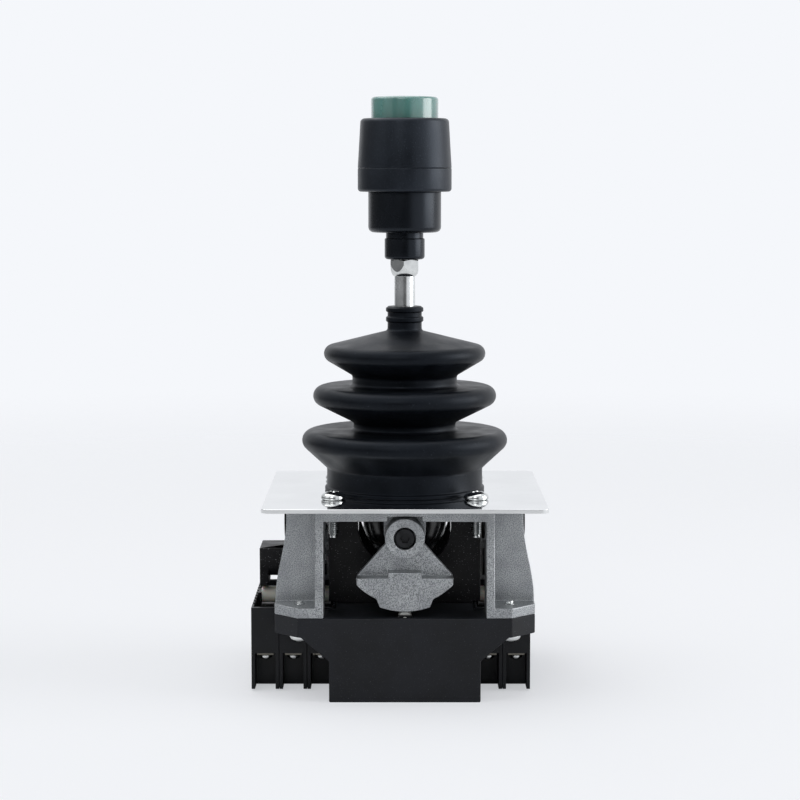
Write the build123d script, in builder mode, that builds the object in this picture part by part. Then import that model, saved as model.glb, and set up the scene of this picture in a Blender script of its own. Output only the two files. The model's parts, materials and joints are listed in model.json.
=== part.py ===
from build123d import *
from math import asin, atan2, cos, degrees, hypot, radians, sin, tan
import os

os.makedirs("parts", exist_ok=True)

# Industrial joystick: a lever on a gimbal works cams, and the cams press roller plungers in
# contact housings. Millimetres. Z runs up the lever at rest, the front looks along -Y, and the
# origin is under the lever, level with the underside of the base.

# Clearances
slide_gap = 0.2            # beside a plunger, and round the moulded button
running_gap = 0.05         # radial, shaft in bush or pin in eye
seat_gap = 0.02            # radial, a piece that is pressed or screwed home
cam_gap = 0.2              # between a cam and its roller at rest
free_gap = 0.4             # beside anything that turns

# Form of the screw heads, as parts of a head's height or diameter
dome_rim = 0.35            # straight rim of a dome head
dome_shoulder_radius = 0.36
dome_shoulder_height = 0.8
socket_head_chamfer = 0.12
socket_depth = 0.6
countersink_angle = 90.0

# Base
base_width = 92.0
base_height = 29.8
base_corner = 8.5          # chamfer of the flat band that carries the frame
band_thickness = 6.8
skirt_width = 53.2         # front and rear skirts, at their foot
shoulder_width = 73.0      # skirt where it meets the band
shoulder_foot = 14.6       # height where the shoulder starts to slope
base_wall = 2.5
base_roof = 3.5
cover_thickness = 2.0
cover_post_radius = 3.6
cover_screw_diameter = 3.0
cover_screw_head = 5.5
cover_screw_length = 8.0

# Frame
frame_height = 37.7
flange_thickness = 4.1
flange_reach = 42.0        # from the lever axis to the outer edge of the flange
foot_thickness = 3.6
leg_inner = 28.5           # from the lever axis to the inner faces of the L section legs
leg_wall = 3.0
opening_diameter = 48.0    # round opening in the flange
notch_half_width = 6.0     # in the flange above each hub
lug_inner = 22.0           # bearing lugs, from the lever axis
lug_length = 6.0
lug_radius = 7.5
stop_height = 2.0          # block below a lug that the return spring grips
stop_drop = 9.0            # from the shaft down to the top of that block
fillet_radius = 1.0

# Mounting plate and the screws that clamp it
plate_size = 100.0
plate_thickness = 1.5
plate_corner = 2.5
plate_hole_diameter = 54.0
clamp_spacing_x = 51.0
clamp_spacing_y = 52.0
clamp_diameter = 4.0
clamp_head_diameter = 8.8
clamp_head_height = 3.0
clamp_reach = 13.6         # thread from the plate's top to its tip
foot_screw_diameter = 4.0
foot_screw_head = 8.0
foot_screw_head_height = 3.1
foot_screw_edge = 9.0      # from the edges of the base
foot_screw_tip = 1.2       # shows above the foot

# Gimbal
pivot_drop = 9.8           # pivot below the frame's top face
ball_radius = 15.4
slot_width = 8.0
lever_angle = 28.0         # tilt each way
shaft_diameter = 8.0
shaft_depth = 6.4          # length of a shaft held in the ball
shaft_end = 39.4           # from the lever axis to the end of a shaft that carries a cam
rear_shaft_end = 31.0
cross_pin_diameter = 5.0
bush_wall = 1.0
bush_flange = 12.4
bush_flange_thickness = 0.9
circlip_diameter = 12.0
circlip_thickness = 1.0
circlip_groove = 0.3
circlip_slot = 3.0

# Cams
hub_radius = 7.0
hub_start = 33.4           # inner end of a hub beside a return spring, from the lever axis
hub_face = 44.0            # outer face of every hub
hub_web = 1.2              # wall in the hub that the screw clamps
cam_screw_diameter = 4.0
cam_screw_head = 7.0
cam_screw_head_height = 2.8
cam_screw_length = 9.0
cam_screw_socket = 3.0     # across flats
cam_arm_start = 35.0       # the flat arm between hub and cam block
cam_arm_thickness = 3.2
arm_angle = 70.0           # from straight down, where the arm leaves the hub
front_cam_radius = 25.9
front_cam_low_radius = 23.6
front_cam_half_width = 16.9
front_cam_top = 14.0       # from the shaft down to the top of the block
front_cam_depth = 8.0
front_cam_tab_width = 11.8
front_cam_tab_height = 2.0
dwell_angle = 20.0         # each side of straight down, at full radius
ramp_angle = 25.0
cam_angle = 46.0
side_cam_radius = 24.7
side_cam_body_radius = 20.5
side_cam_half_width = 8.8
side_cam_top = 9.2
side_cam_inner = 28.6      # inner end of both side cam blocks, from the lever axis
track_width = 3.0
dog_drop = 12.2            # from the shaft down to the top of the driving dog
dog_reach = 29.0           # inner end of the dog, from the lever axis

# Return springs on the shafts
coil_wire = 1.2
coil_turns = 3
coil_start = 28.9
coil_radius = 5.1          # middle of the wire
coil_leg = 14.6            # from the shaft down to the tips
coil_nesting = 0.92        # pitch over wire, so that neighbouring coils touch

# Side yoke
yoke_inner = 17.0          # inside of the strap, from the pivot
yoke_thickness = 3.0
yoke_half_width = 6.0
yoke_bend = 3.0
yoke_slot_half_length = 12.8
yoke_slot_half_width = 2.75
yoke_slot_flare = 1.4      # extra half width at both ends, for tilts in two directions

# Lever
rod_diameter = 7.5
rod_length = 89.8          # pivot to the shoulder under the nut
eye_radius = 6.6
eye_width = 7.5
tail_diameter = 5.0
tail_length = 21.5
rod_root = 5.0             # from the pivot up to the rod's end in the eye
tail_root = 5.6            # from the pivot down to the tail's end in the eye
thread_diameter = 6.0
thread_length = 22.0
nut_across_flats = 10.0
nut_height = 6.0
nut_seat_radius = 4.1      # flat at the foot of the domed end
nut_dome_radius = 5.0      # of the dome where it bulges
nut_dome_rise = 1.5        # height of that bulge
nut_dome_height = 4.1      # where the dome runs out at the corners
nut_bevel = 0.6            # height of the upper bevel at the corners
nut_bevel_radius = 4.9
nut_turn = 3.0             # how far a corner is turned from the front

# Handle
neck_diameter = 14.6
neck_height = 7.6
neck_step_diameter = 13.6
neck_step_height = 2.2
body_diameter = 26.5
body_height = 14.7
ring_diameter = 34.1
ring_height = 8.5
cap_height = 17.9
cap_top_diameter = 32.0
cap_fillet = 1.4
shell_wall = 2.0
spigot_height = 4.0
button_diameter = 24.4
button_rise = 8.0
button_travel = 4.0
button_flange = 1.6        # how far the button's rim stands out
button_rim = 1.8
button_wall = 1.8
stem_diameter = 5.0
switch_width = 11.0
switch_height = 9.0
switch_pin_diameter = 4.0
spring_diameter = 18.0
spring_wire = 1.0
spring_turns = 4

# Bellows
bellows_height = 67.4      # above the plate
bellows_wall = 1.4
collar_radius = 28.5
collar_inner_radius = 24.0
collar_height = 8.3        # above the plate, where the first lip starts
collar_bead = 0.8          # how far the bead that lies on the plate stands out
collar_bead_height = 1.2
collar_bead_slope = 0.4
lip_radii = (37.6, 33.5, 29.5)
lip_rims = (3.7, 3.6, 3.2)             # radii of the lips' rounded edges
lip_heights = (18.4, 34.7, 50.2)       # of the middle of those edges above the plate
waist_radii = (18.7, 19.15)
waist_heights = (25.0, 42.2)           # of the waists' upper ends above the plate
roof_angle = 14.2          # slope of the cone over the last lip
lip_sink = 1.5             # thickness of the lip that sits under the plate
sleeve_radius = 6.25
bead_radius = 6.9
bead_slope = 0.4
sleeve_beads = ((5.4, 4.0), (1.8, 0.6))    # lower and upper edges, below the sleeve's top

# Inner shroud
shroud_inner = 15.6
shroud_wall = 2.0
shroud_half_width = 27.4
shroud_foot_half_width = 24.4
shroud_opening_radius = 16.9
shroud_opening_rise = 1.2  # centre of the opening above the pivot
shroud_floor = 1.5

# Contact housings
housing_pitch = 10.0
housing_gap = 0.1
housing_start = 25.0       # inner face of the first housing, from the lever axis
housing_length = 56.4
housing_bottom = 0.6
housing_rise = 0.4         # top of the housings above the base
housing_wall = 0.85
pocket_wall = 1.3
rim_notches = 9            # in the upper edge of the side walls
rim_notch_pitch = 5.0
rim_notch_width = 2.0
rim_notch_depth = 1.0
trough_depth = 9.0
trough_end_wall = 1.7
chamber_floor = 4.0
chamber_end_wall = 2.0
pocket_depth = 8.0
pocket_height = 13.0
left_poles = 3
right_poles = 2
bay_gap = 0.2

# Contact plungers
plunger_length = 8.0
plunger_height = 17.0
cheek_thickness = 1.0
cheek_rise = 1.3           # of the cheeks above the roller's axis
roller_diameter = 6.0
roller_pin_diameter = 2.0
strip_width = 6.0
strip_thickness = 0.8
strip_length = 14.0
terminal_screw_diameter = 3.0
terminal_head_diameter = 4.8
terminal_head_height = 2.0
terminal_screw_length = 5.0

# Front plunger
front_roller_diameter = 4.8
front_roller_length = 5.0
front_plunger_height = 13.0
front_plunger_pin = 1.6
front_spring_room = 6.0

# Leaf springs under the plungers
leaf_thickness = 0.4
leaf_width = 5.0
leaf_length = 30.0
front_leaf_length = 22.0

# Places that follow from the sizes above
quarter = 90.0
upside_down = (2 * quarter, 0, 0)
frame_top = base_height + frame_height
flange_bottom = frame_top - flange_thickness
plate_top = frame_top + plate_thickness
pivot_z = frame_top - pivot_drop
leg_outer = leg_inner + leg_wall
lug_face = lug_inner + lug_length
hub_floor = shaft_end + hub_web
lip_recess_radius = collar_radius + running_gap + seat_gap
band_bottom = base_height - band_thickness
foot_reach = base_width / 2
foot_screw_place = base_width / 2 - foot_screw_edge
shaft_radius = shaft_diameter / 2
spring_grip = 2 * coil_radius - coil_wire - slide_gap     # what stands between the spring's legs
dog_height = coil_leg + free_gap - dog_drop
housing_top = base_height + housing_rise
housing_width = housing_pitch - housing_gap
cavity_width = housing_width - 2 * housing_wall
pocket_width = housing_width - 2 * pocket_wall
front_cam_centre = hub_face - front_cam_depth / 2
front_roller_z = pivot_z - front_cam_radius - cam_gap - front_roller_diameter / 2
side_roller_z = pivot_z - side_cam_radius - cam_gap - roller_diameter / 2
shoulder_z = pivot_z + rod_length
neck_bottom = shoulder_z + nut_height
body_bottom = neck_bottom + neck_height + neck_step_height
ring_bottom = body_bottom + body_height
cap_bottom = ring_bottom + ring_height
cap_top = cap_bottom + cap_height
button_seat = cap_top - shell_wall - slide_gap


def facing(turn, distance):
    """Plane at the pivot's height that looks out of one side: 0 front, 1 right, 2 rear, 3 left."""
    straight = Plane(origin=(0, 0, pivot_z), x_dir=(1, 0, 0), z_dir=(0, -1, 0))
    return straight.rotated((0, 0, quarter * turn)).offset(distance)


def below(radius, angle):
    """Point on a circle round the pivot, at an angle from straight down."""
    return (radius * sin(radians(angle)), -radius * cos(radians(angle)))


def dome_screw(head_diameter, head_height, diameter, length):
    """Dome head screw: seat at z = 0, head above, thread below."""
    with BuildPart() as screw:
        with BuildSketch(Plane.XZ):
            with BuildLine():
                rim = head_height * dome_rim
                seat = Polyline(
                    (head_diameter / 2, rim),
                    (head_diameter / 2, 0),
                    (diameter / 2, 0),
                    (diameter / 2, -length),
                    (0, -length),
                    (0, head_height),
                )
                shoulder = (head_diameter * dome_shoulder_radius, head_height * dome_shoulder_height)
                ThreePointArc(seat @ 1, shoulder, seat @ 0)
            make_face()
        revolve(axis=Axis.Z)
    return screw.part


def socket_screw(head_diameter, head_height, diameter, length, socket):
    """Low head socket screw: seat at z = 0, head above, thread below."""
    with BuildPart() as screw:
        Cylinder(head_diameter / 2, head_height, align=(Align.CENTER, Align.CENTER, Align.MIN))
        chamfer(screw.edges().group_by(Axis.Z)[-1], head_height * socket_head_chamfer)
        Cylinder(diameter / 2, length, align=(Align.CENTER, Align.CENTER, Align.MAX))
        with BuildSketch(Plane.XY.offset(head_height)):
            RegularPolygon(socket / 2, 6, major_radius=False)
        extrude(amount=-head_height * socket_depth, mode=Mode.SUBTRACT)
    return screw.part


def countersunk_screw(head_diameter, diameter, length):
    """Countersunk screw: head face at z = 0, thread above it, as it goes up into a cover."""
    cone = (head_diameter - diameter) / 2
    with BuildPart() as screw:
        with BuildSketch(Plane.XZ):
            with BuildLine():
                Polyline(
                    (0, 0),
                    (head_diameter / 2, 0),
                    (diameter / 2, cone),
                    (diameter / 2, length),
                    (0, length),
                    close=True,
                )
            make_face()
        revolve(axis=Axis.Z)
    return screw.part


def corners(x, y):
    """Four points in a rectangle round the lever axis."""
    return [(x, y), (-x, y), (-x, -y), (x, -y)]


# Base: flat band, sloping shoulders and a hollow middle between the two bays
cavity_half_x = housing_start - bay_gap - base_wall
cavity_half_y = housing_length / 2 + foot_thickness
bay_half_length = housing_length / 2 + bay_gap
bay_inner = housing_start - bay_gap
front_slot_x = front_roller_diameter + 2 * slide_gap
front_plunger_y = front_roller_length + 2 * slide_gap + 2 * cheek_thickness
front_slot_y = front_plunger_y + 2 * slide_gap
front_slot_floor = front_roller_z - front_plunger_height - front_spring_room
cover_screw_places = corners(
    cavity_half_x - cover_post_radius - slide_gap,
    cavity_half_y - cover_post_radius - slide_gap,
)

with BuildPart() as base:
    with BuildSketch(Plane.XY.offset(band_bottom)):
        Rectangle(base_width, base_width)
        chamfer(vertices(), base_corner)
    extrude(amount=band_thickness)
    with BuildSketch(Plane.XZ.offset(base_width / 2)):
        with BuildLine():
            Polyline(
                (-skirt_width / 2, 0),
                (skirt_width / 2, 0),
                (skirt_width / 2, shoulder_foot),
                (shoulder_width / 2, band_bottom),
                (-shoulder_width / 2, band_bottom),
                (-skirt_width / 2, shoulder_foot),
                close=True,
            )
        make_face()
    extrude(amount=-base_width)
    for side in (-1, 1):
        with BuildSketch(Plane.XY):
            with Locations((side * (bay_inner + base_width / 2), 0)):
                Rectangle(base_width, 2 * bay_half_length)
        extrude(amount=base_height, mode=Mode.SUBTRACT)
    with BuildSketch(Plane.XY):
        Rectangle(2 * cavity_half_x, 2 * cavity_half_y)
        fillet(vertices(), fillet_radius)
    extrude(amount=base_height - base_roof, mode=Mode.SUBTRACT)
    with BuildSketch(Plane.XY.offset(cover_thickness)):
        with Locations(*cover_screw_places):
            Circle(cover_post_radius)
    extrude(until=Until.NEXT)
    with BuildSketch(Plane.XY.offset(cover_thickness)):
        with Locations(*cover_screw_places):
            Circle(cover_screw_diameter / 2 + seat_gap)
    extrude(amount=cover_screw_length, mode=Mode.SUBTRACT)
    with BuildSketch(Plane.XY.offset(band_bottom)):
        with Locations(*corners(foot_screw_place, foot_screw_place)):
            Circle(foot_screw_diameter / 2 + slide_gap)
    extrude(amount=band_thickness, mode=Mode.SUBTRACT)
    with BuildSketch(Plane.XY.offset(band_bottom)):
        with Locations(*corners(foot_screw_place, foot_screw_place)):
            Circle(foot_screw_head / 2 + slide_gap)
    extrude(amount=-band_bottom, mode=Mode.SUBTRACT)
    with BuildSketch(Plane.XY.offset(front_slot_floor)):
        with Locations((0, -front_cam_centre)):
            Rectangle(front_slot_x, front_slot_y)
    extrude(amount=base_height - front_slot_floor, mode=Mode.SUBTRACT)
    with BuildSketch(Plane.XY.offset(front_slot_floor)):
        with Locations((0, -front_cam_centre)):
            Rectangle(front_leaf_length + 2 * slide_gap, leaf_width + 2 * slide_gap)
    extrude(amount=front_spring_room - slide_gap, mode=Mode.SUBTRACT)
base.part.label = "base"
export_step(base.part, "parts/base.step")

with BuildPart() as bottom_cover:
    with BuildSketch(Plane.XY):
        Rectangle(2 * (cavity_half_x - slide_gap), 2 * (cavity_half_y - slide_gap))
        fillet(vertices(), fillet_radius)
    extrude(amount=cover_thickness)
    with Locations(Plane.XY.rotated(upside_down)):
        with Locations(*cover_screw_places):
            CounterSinkHole(
                cover_screw_diameter / 2 + seat_gap,
                cover_screw_head / 2 + seat_gap,
                cover_thickness,
                countersink_angle,
            )
bottom_cover.part.label = "bottom_cover"
export_step(bottom_cover.part, "parts/bottom_cover.step")

cover_screw = countersunk_screw(cover_screw_head, cover_screw_diameter, cover_screw_length)
with BuildPart() as cover_screws:
    with Locations(*cover_screw_places):
        add(cover_screw)
cover_screws.part.label = "cover_screws"
export_step(cover_screws.part, "parts/cover_screws.step")

foot_screw_length = band_thickness + foot_thickness + foot_screw_tip
foot_screw = dome_screw(
    foot_screw_head, foot_screw_head_height, foot_screw_diameter, foot_screw_length
)
with BuildPart() as foot_screws:
    with Locations(Location((0, 0, band_bottom), upside_down)):
        with Locations(*corners(foot_screw_place, foot_screw_place)):
            add(foot_screw)
foot_screws.part.label = "foot_screws"
export_step(foot_screws.part, "parts/foot_screws.step")

# Frame: one casting of flange, bearing lugs, L section legs and feet
notch_height = hub_radius + free_gap
stop_half_width = spring_grip / 2
stop_end = coil_start + coil_wire * coil_turns + free_gap

with BuildPart() as frame:
    with BuildSketch(Plane.XY.offset(flange_bottom)):
        Rectangle(2 * leg_outer, 2 * flange_reach)
        Rectangle(2 * flange_reach, 2 * leg_outer)
        Circle(opening_diameter / 2, mode=Mode.SUBTRACT)
    extrude(amount=flange_thickness)
    with BuildSketch(Plane.XY.offset(frame_top)):
        Circle(lip_recess_radius)
    extrude(amount=-lip_sink, mode=Mode.SUBTRACT)
    for turn in range(4):
        for arm in (leg_inner, -leg_outer):
            with BuildSketch(Plane.XZ.rotated((0, 0, quarter * turn)).offset(arm)):
                with BuildLine():
                    foot_edge = base_height + foot_thickness
                    Polyline(
                        (flange_reach, flange_bottom),
                        (flange_reach, frame_top - slide_gap),
                        (leg_inner, frame_top - slide_gap),
                        (leg_inner, base_height),
                        (foot_reach, base_height),
                        (foot_reach, foot_edge),
                    )
                    Spline(
                        (foot_reach, foot_edge),
                        (flange_reach, flange_bottom),
                        tangents=[(0, 1), (0, 1)],
                    )
                make_face()
            extrude(amount=leg_wall)
        with BuildSketch(facing(turn, lug_inner)):
            Circle(lug_radius)
            Rectangle(
                2 * lug_radius,
                frame_top - lip_sink - pivot_z,
                align=(Align.CENTER, Align.MIN),
            )
            if turn in (0, 3):
                Rectangle(
                    2 * stop_half_width,
                    stop_drop + stop_height,
                    align=(Align.CENTER, Align.MAX),
                )
        extrude(amount=lug_length)
        if turn in (0, 3):
            with BuildSketch(facing(turn, lug_inner)):
                with Locations((0, -stop_drop)):
                    Rectangle(
                        2 * stop_half_width, stop_height, align=(Align.CENTER, Align.MAX)
                    )
            extrude(amount=stop_end - lug_inner)
        with BuildSketch(facing(turn, lug_inner)):
            Circle(shaft_radius + bush_wall + seat_gap)
        extrude(amount=lug_length, mode=Mode.SUBTRACT)
        with BuildSketch(facing(turn, lug_face)):
            Rectangle(
                2 * notch_half_width, notch_height, align=(Align.CENTER, Align.MIN)
            )
        extrude(amount=flange_reach, mode=Mode.SUBTRACT)
        with BuildSketch(Plane.XY.rotated((0, 0, quarter * turn)).offset(base_height)):
            with BuildLine():
                Polyline(
                    (leg_inner, leg_inner),
                    (foot_reach, leg_inner),
                    (foot_reach, base_width / 2 - base_corner),
                    (base_width / 2 - base_corner, foot_reach),
                    (leg_inner, foot_reach),
                    close=True,
                )
            make_face()
        extrude(amount=foot_thickness)
    with BuildSketch(Plane.XY.offset(base_height)):
        with Locations(*corners(foot_screw_place, foot_screw_place)):
            Circle(foot_screw_diameter / 2 + seat_gap)
    extrude(amount=foot_thickness + foot_screw_tip + seat_gap, mode=Mode.SUBTRACT)
    with BuildSketch(Plane.XY.offset(flange_bottom)):
        with Locations(*corners(clamp_spacing_x / 2, clamp_spacing_y / 2)):
            Circle(clamp_diameter / 2 + seat_gap)
    extrude(amount=flange_thickness, mode=Mode.SUBTRACT)
frame.part.label = "frame"
export_step(frame.part, "parts/frame.step")

# Mounting plate and its screws
with BuildPart() as mounting_plate:
    with BuildSketch(Plane.XY.offset(frame_top)):
        Rectangle(plate_size, plate_size)
        fillet(vertices(), plate_corner)
        Circle(plate_hole_diameter / 2, mode=Mode.SUBTRACT)
        with Locations(*corners(clamp_spacing_x / 2, clamp_spacing_y / 2)):
            Circle(clamp_diameter / 2 + slide_gap, mode=Mode.SUBTRACT)
    extrude(amount=plate_thickness)
mounting_plate.part.label = "mounting_plate"
export_step(mounting_plate.part, "parts/mounting_plate.step")

plate_screw = dome_screw(clamp_head_diameter, clamp_head_height, clamp_diameter, clamp_reach)
with BuildPart() as plate_screws:
    with Locations((0, 0, plate_top)):
        with Locations(*corners(clamp_spacing_x / 2, clamp_spacing_y / 2)):
            add(plate_screw)
plate_screws.part.label = "plate_screws"
export_step(plate_screws.part, "parts/plate_screws.step")

# Inner shroud: front and rear walls with round openings, joined by a floor
shroud_outer = shroud_inner + shroud_wall

with BuildPart() as shroud:
    for wall_face in (shroud_outer, -shroud_inner):
        with BuildSketch(Plane.XZ.offset(wall_face)):
            with BuildLine():
                Polyline(
                    (-shroud_foot_half_width, base_height),
                    (shroud_foot_half_width, base_height),
                    (shroud_foot_half_width, housing_top + slide_gap),
                    (shroud_half_width, housing_top + slide_gap),
                    (shroud_half_width, flange_bottom),
                    (-shroud_half_width, flange_bottom),
                    (-shroud_half_width, housing_top + slide_gap),
                    (-shroud_foot_half_width, housing_top + slide_gap),
                    close=True,
                )
            make_face()
            with Locations((0, pivot_z + shroud_opening_rise)):
                Circle(shroud_opening_radius, mode=Mode.SUBTRACT)
        extrude(amount=-shroud_wall)
    with BuildSketch(Plane.XY.offset(base_height)):
        Rectangle(2 * shroud_foot_half_width, 2 * shroud_outer)
    extrude(amount=shroud_floor)
shroud.part.label = "shroud"
export_step(shroud.part, "parts/shroud.step")

# Bushes in the four lugs
with BuildPart() as shaft_bushes:
    for turn in range(4):
        with BuildSketch(facing(turn, lug_inner - bush_flange_thickness)):
            Circle(bush_flange / 2)
        extrude(amount=bush_flange_thickness)
        with BuildSketch(facing(turn, lug_inner)):
            Circle(shaft_radius + bush_wall)
        extrude(amount=lug_length)
        with BuildSketch(facing(turn, lug_inner - bush_flange_thickness)):
            Circle(shaft_radius + running_gap)
        extrude(amount=bush_flange_thickness + lug_length, mode=Mode.SUBTRACT)
shaft_bushes.part.label = "shaft_bushes"
export_step(shaft_bushes.part, "parts/shaft_bushes.step")

# Gimbal ball: slotted front to back for the lever, with sockets for shafts and cross pin
shaft_start = ball_radius - shaft_depth


def swept_slot(half_width, length, up):
    """Corners of the wedge that a bar sweeps when it tilts to both limits."""
    lean = radians(lever_angle)
    reach = 1 if up else -1
    near = (half_width * cos(lean), -reach * half_width * sin(lean))
    far = (near[0] + length * sin(lean), near[1] + reach * length * cos(lean))
    return [near, far, (-far[0], far[1]), (-near[0], near[1])]


with BuildPart() as gimbal_ball:
    with Locations((0, 0, pivot_z)):
        Sphere(ball_radius)
    with BuildSketch(facing(1, 0)):
        Circle(eye_radius + free_gap)
        with BuildLine():
            Polyline(*swept_slot(rod_diameter / 2 + free_gap, 2 * ball_radius, True), close=True)
        make_face()
        with BuildLine():
            Polyline(*swept_slot(tail_diameter / 2 + free_gap, 2 * ball_radius, False), close=True)
        make_face()
    extrude(amount=slot_width / 2, both=True, mode=Mode.SUBTRACT)
    for turn in (0, 2):
        with BuildSketch(facing(turn, shaft_start)):
            Circle(shaft_radius + seat_gap)
        extrude(amount=shaft_depth, mode=Mode.SUBTRACT)
    with BuildSketch(facing(1, 0)):
        Circle(cross_pin_diameter / 2 + seat_gap)
    extrude(amount=ball_radius, both=True, mode=Mode.SUBTRACT)
gimbal_ball.part.label = "gimbal_ball"
export_step(gimbal_ball.part, "parts/gimbal_ball.step")

with BuildPart() as cross_pin:
    with BuildSketch(facing(1, 0)):
        Circle(cross_pin_diameter / 2)
    extrude(amount=ball_radius - free_gap, both=True)
    chamfer(cross_pin.edges().filter_by(GeomType.CIRCLE), free_gap)
cross_pin.part.label = "cross_pin"
export_step(cross_pin.part, "parts/cross_pin.step")


def cam_shaft(turn, start):
    """Shaft with a tapped end for a cam screw."""
    with BuildPart() as shaft:
        with BuildSketch(facing(turn, start)):
            Circle(shaft_radius)
        extrude(amount=shaft_end - start)
        with BuildSketch(facing(turn, shaft_end)):
            Circle(cam_screw_diameter / 2 + seat_gap)
        extrude(amount=-cam_screw_length, mode=Mode.SUBTRACT)
    return shaft


front_shaft = cam_shaft(0, shaft_start)
front_shaft.part.label = "front_shaft"
export_step(front_shaft.part, "parts/front_shaft.step")

with BuildPart() as rear_shaft:
    with BuildSketch(facing(2, shaft_start)):
        Circle(shaft_radius)
    extrude(amount=rear_shaft_end - shaft_start)
    chamfer(rear_shaft.edges().filter_by(GeomType.CIRCLE).sort_by(Axis.Y)[-1], free_gap)
    with BuildSketch(facing(2, lug_face + free_gap)):
        Circle(shaft_radius)
        Circle(shaft_radius - circlip_groove, mode=Mode.SUBTRACT)
    extrude(amount=circlip_thickness, mode=Mode.SUBTRACT)
rear_shaft.part.label = "rear_shaft"
export_step(rear_shaft.part, "parts/rear_shaft.step")

with BuildPart() as rear_circlip:
    with BuildSketch(facing(2, lug_face + free_gap)):
        Circle(circlip_diameter / 2)
        Circle(shaft_radius - circlip_groove + seat_gap, mode=Mode.SUBTRACT)
        Rectangle(
            circlip_slot,
            circlip_diameter,
            align=(Align.CENTER, Align.MAX),
            mode=Mode.SUBTRACT,
        )
    extrude(amount=circlip_thickness)
rear_circlip.part.label = "rear_circlip"
export_step(rear_circlip.part, "parts/rear_circlip.step")

# Cams


def cam_lobe(radius, low_radius, half_width, top):
    """Outline of a cam block: a raised dwell between two lower arcs, with a flat top."""
    Polyline(
        below(low_radius, cam_angle),
        (half_width, -top),
        (-half_width, -top),
        below(low_radius, -cam_angle),
    )
    middle = (ramp_angle + cam_angle) / 2
    ThreePointArc(
        below(low_radius, -cam_angle), below(low_radius, -middle), below(low_radius, -ramp_angle)
    )
    Line(below(low_radius, -ramp_angle), below(radius, -dwell_angle))
    ThreePointArc(below(radius, -dwell_angle), (0, -radius), below(radius, dwell_angle))
    Line(below(radius, dwell_angle), below(low_radius, ramp_angle))
    ThreePointArc(
        below(low_radius, ramp_angle), below(low_radius, middle), below(low_radius, cam_angle)
    )


def cam_arm(half_width, top):
    """Outline of the flat arm, from the hub's sides down to the block's corners."""
    Polyline(
        below(hub_radius, arm_angle),
        (half_width, -top),
        (-half_width, -top),
        below(hub_radius, -arm_angle),
        close=True,
    )


def bore_hub(turn, inner):
    """Cut the hub's shaft bore, its screw hole and the recess for the screw's head."""
    with BuildSketch(facing(turn, inner)) as bore:
        Circle(shaft_radius + seat_gap)
    extrude(bore.sketch, amount=shaft_end - inner, mode=Mode.SUBTRACT)
    with BuildSketch(facing(turn, inner)) as screw_hole:
        Circle(cam_screw_diameter / 2 + slide_gap)
    extrude(screw_hole.sketch, amount=hub_face - inner, mode=Mode.SUBTRACT)
    with BuildSketch(facing(turn, hub_floor)) as recess:
        Circle(cam_screw_head / 2 + 2 * slide_gap)
    extrude(recess.sketch, amount=hub_face - hub_floor, mode=Mode.SUBTRACT)


def driving_dog(turn):
    """Block on the inner side of a cam's arm that pushes the return spring's legs."""
    with BuildSketch(facing(turn, dog_reach)) as dog:
        with Locations((0, -dog_drop)):
            Rectangle(spring_grip, dog_height, align=(Align.CENTER, Align.MAX))
    extrude(dog.sketch, amount=cam_arm_start - dog_reach)


with BuildPart() as front_cam:
    with BuildSketch(facing(0, hub_start)):
        Circle(hub_radius)
    extrude(amount=hub_face - hub_start)
    with BuildSketch(facing(0, cam_arm_start)):
        with BuildLine():
            cam_arm(front_cam_half_width, front_cam_top)
        make_face()
    extrude(amount=cam_arm_thickness)
    with BuildSketch(facing(0, hub_face - front_cam_depth)):
        with BuildLine():
            cam_lobe(front_cam_radius, front_cam_low_radius, front_cam_half_width, front_cam_top)
        make_face()
        with Locations((0, -front_cam_top)):
            Rectangle(
                front_cam_tab_width, front_cam_tab_height, align=(Align.CENTER, Align.MIN)
            )
    extrude(amount=front_cam_depth)
    with BuildSketch(facing(0, cam_arm_start)):
        with Locations((0, -front_cam_top)):
            Rectangle(
                2 * front_cam_half_width, leg_wall, align=(Align.CENTER, Align.MAX)
            )
    extrude(amount=cam_arm_thickness)
    driving_dog(0)
    bore_hub(0, hub_start)
front_cam.part.label = "front_cam"
export_step(front_cam.part, "parts/front_cam.step")

cam_screw = socket_screw(
    cam_screw_head, cam_screw_head_height, cam_screw_diameter, cam_screw_length, cam_screw_socket
)
with BuildPart() as front_cam_screw:
    with Locations(facing(0, hub_floor)):
        add(cam_screw)
front_cam_screw.part.label = "front_cam_screw"
export_step(front_cam_screw.part, "parts/front_cam_screw.step")

with BuildPart() as side_cam_screws:
    with Locations(facing(1, hub_floor), facing(3, hub_floor)):
        add(cam_screw)
side_cam_screws.part.label = "side_cam_screws"
export_step(side_cam_screws.part, "parts/side_cam_screws.step")


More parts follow.
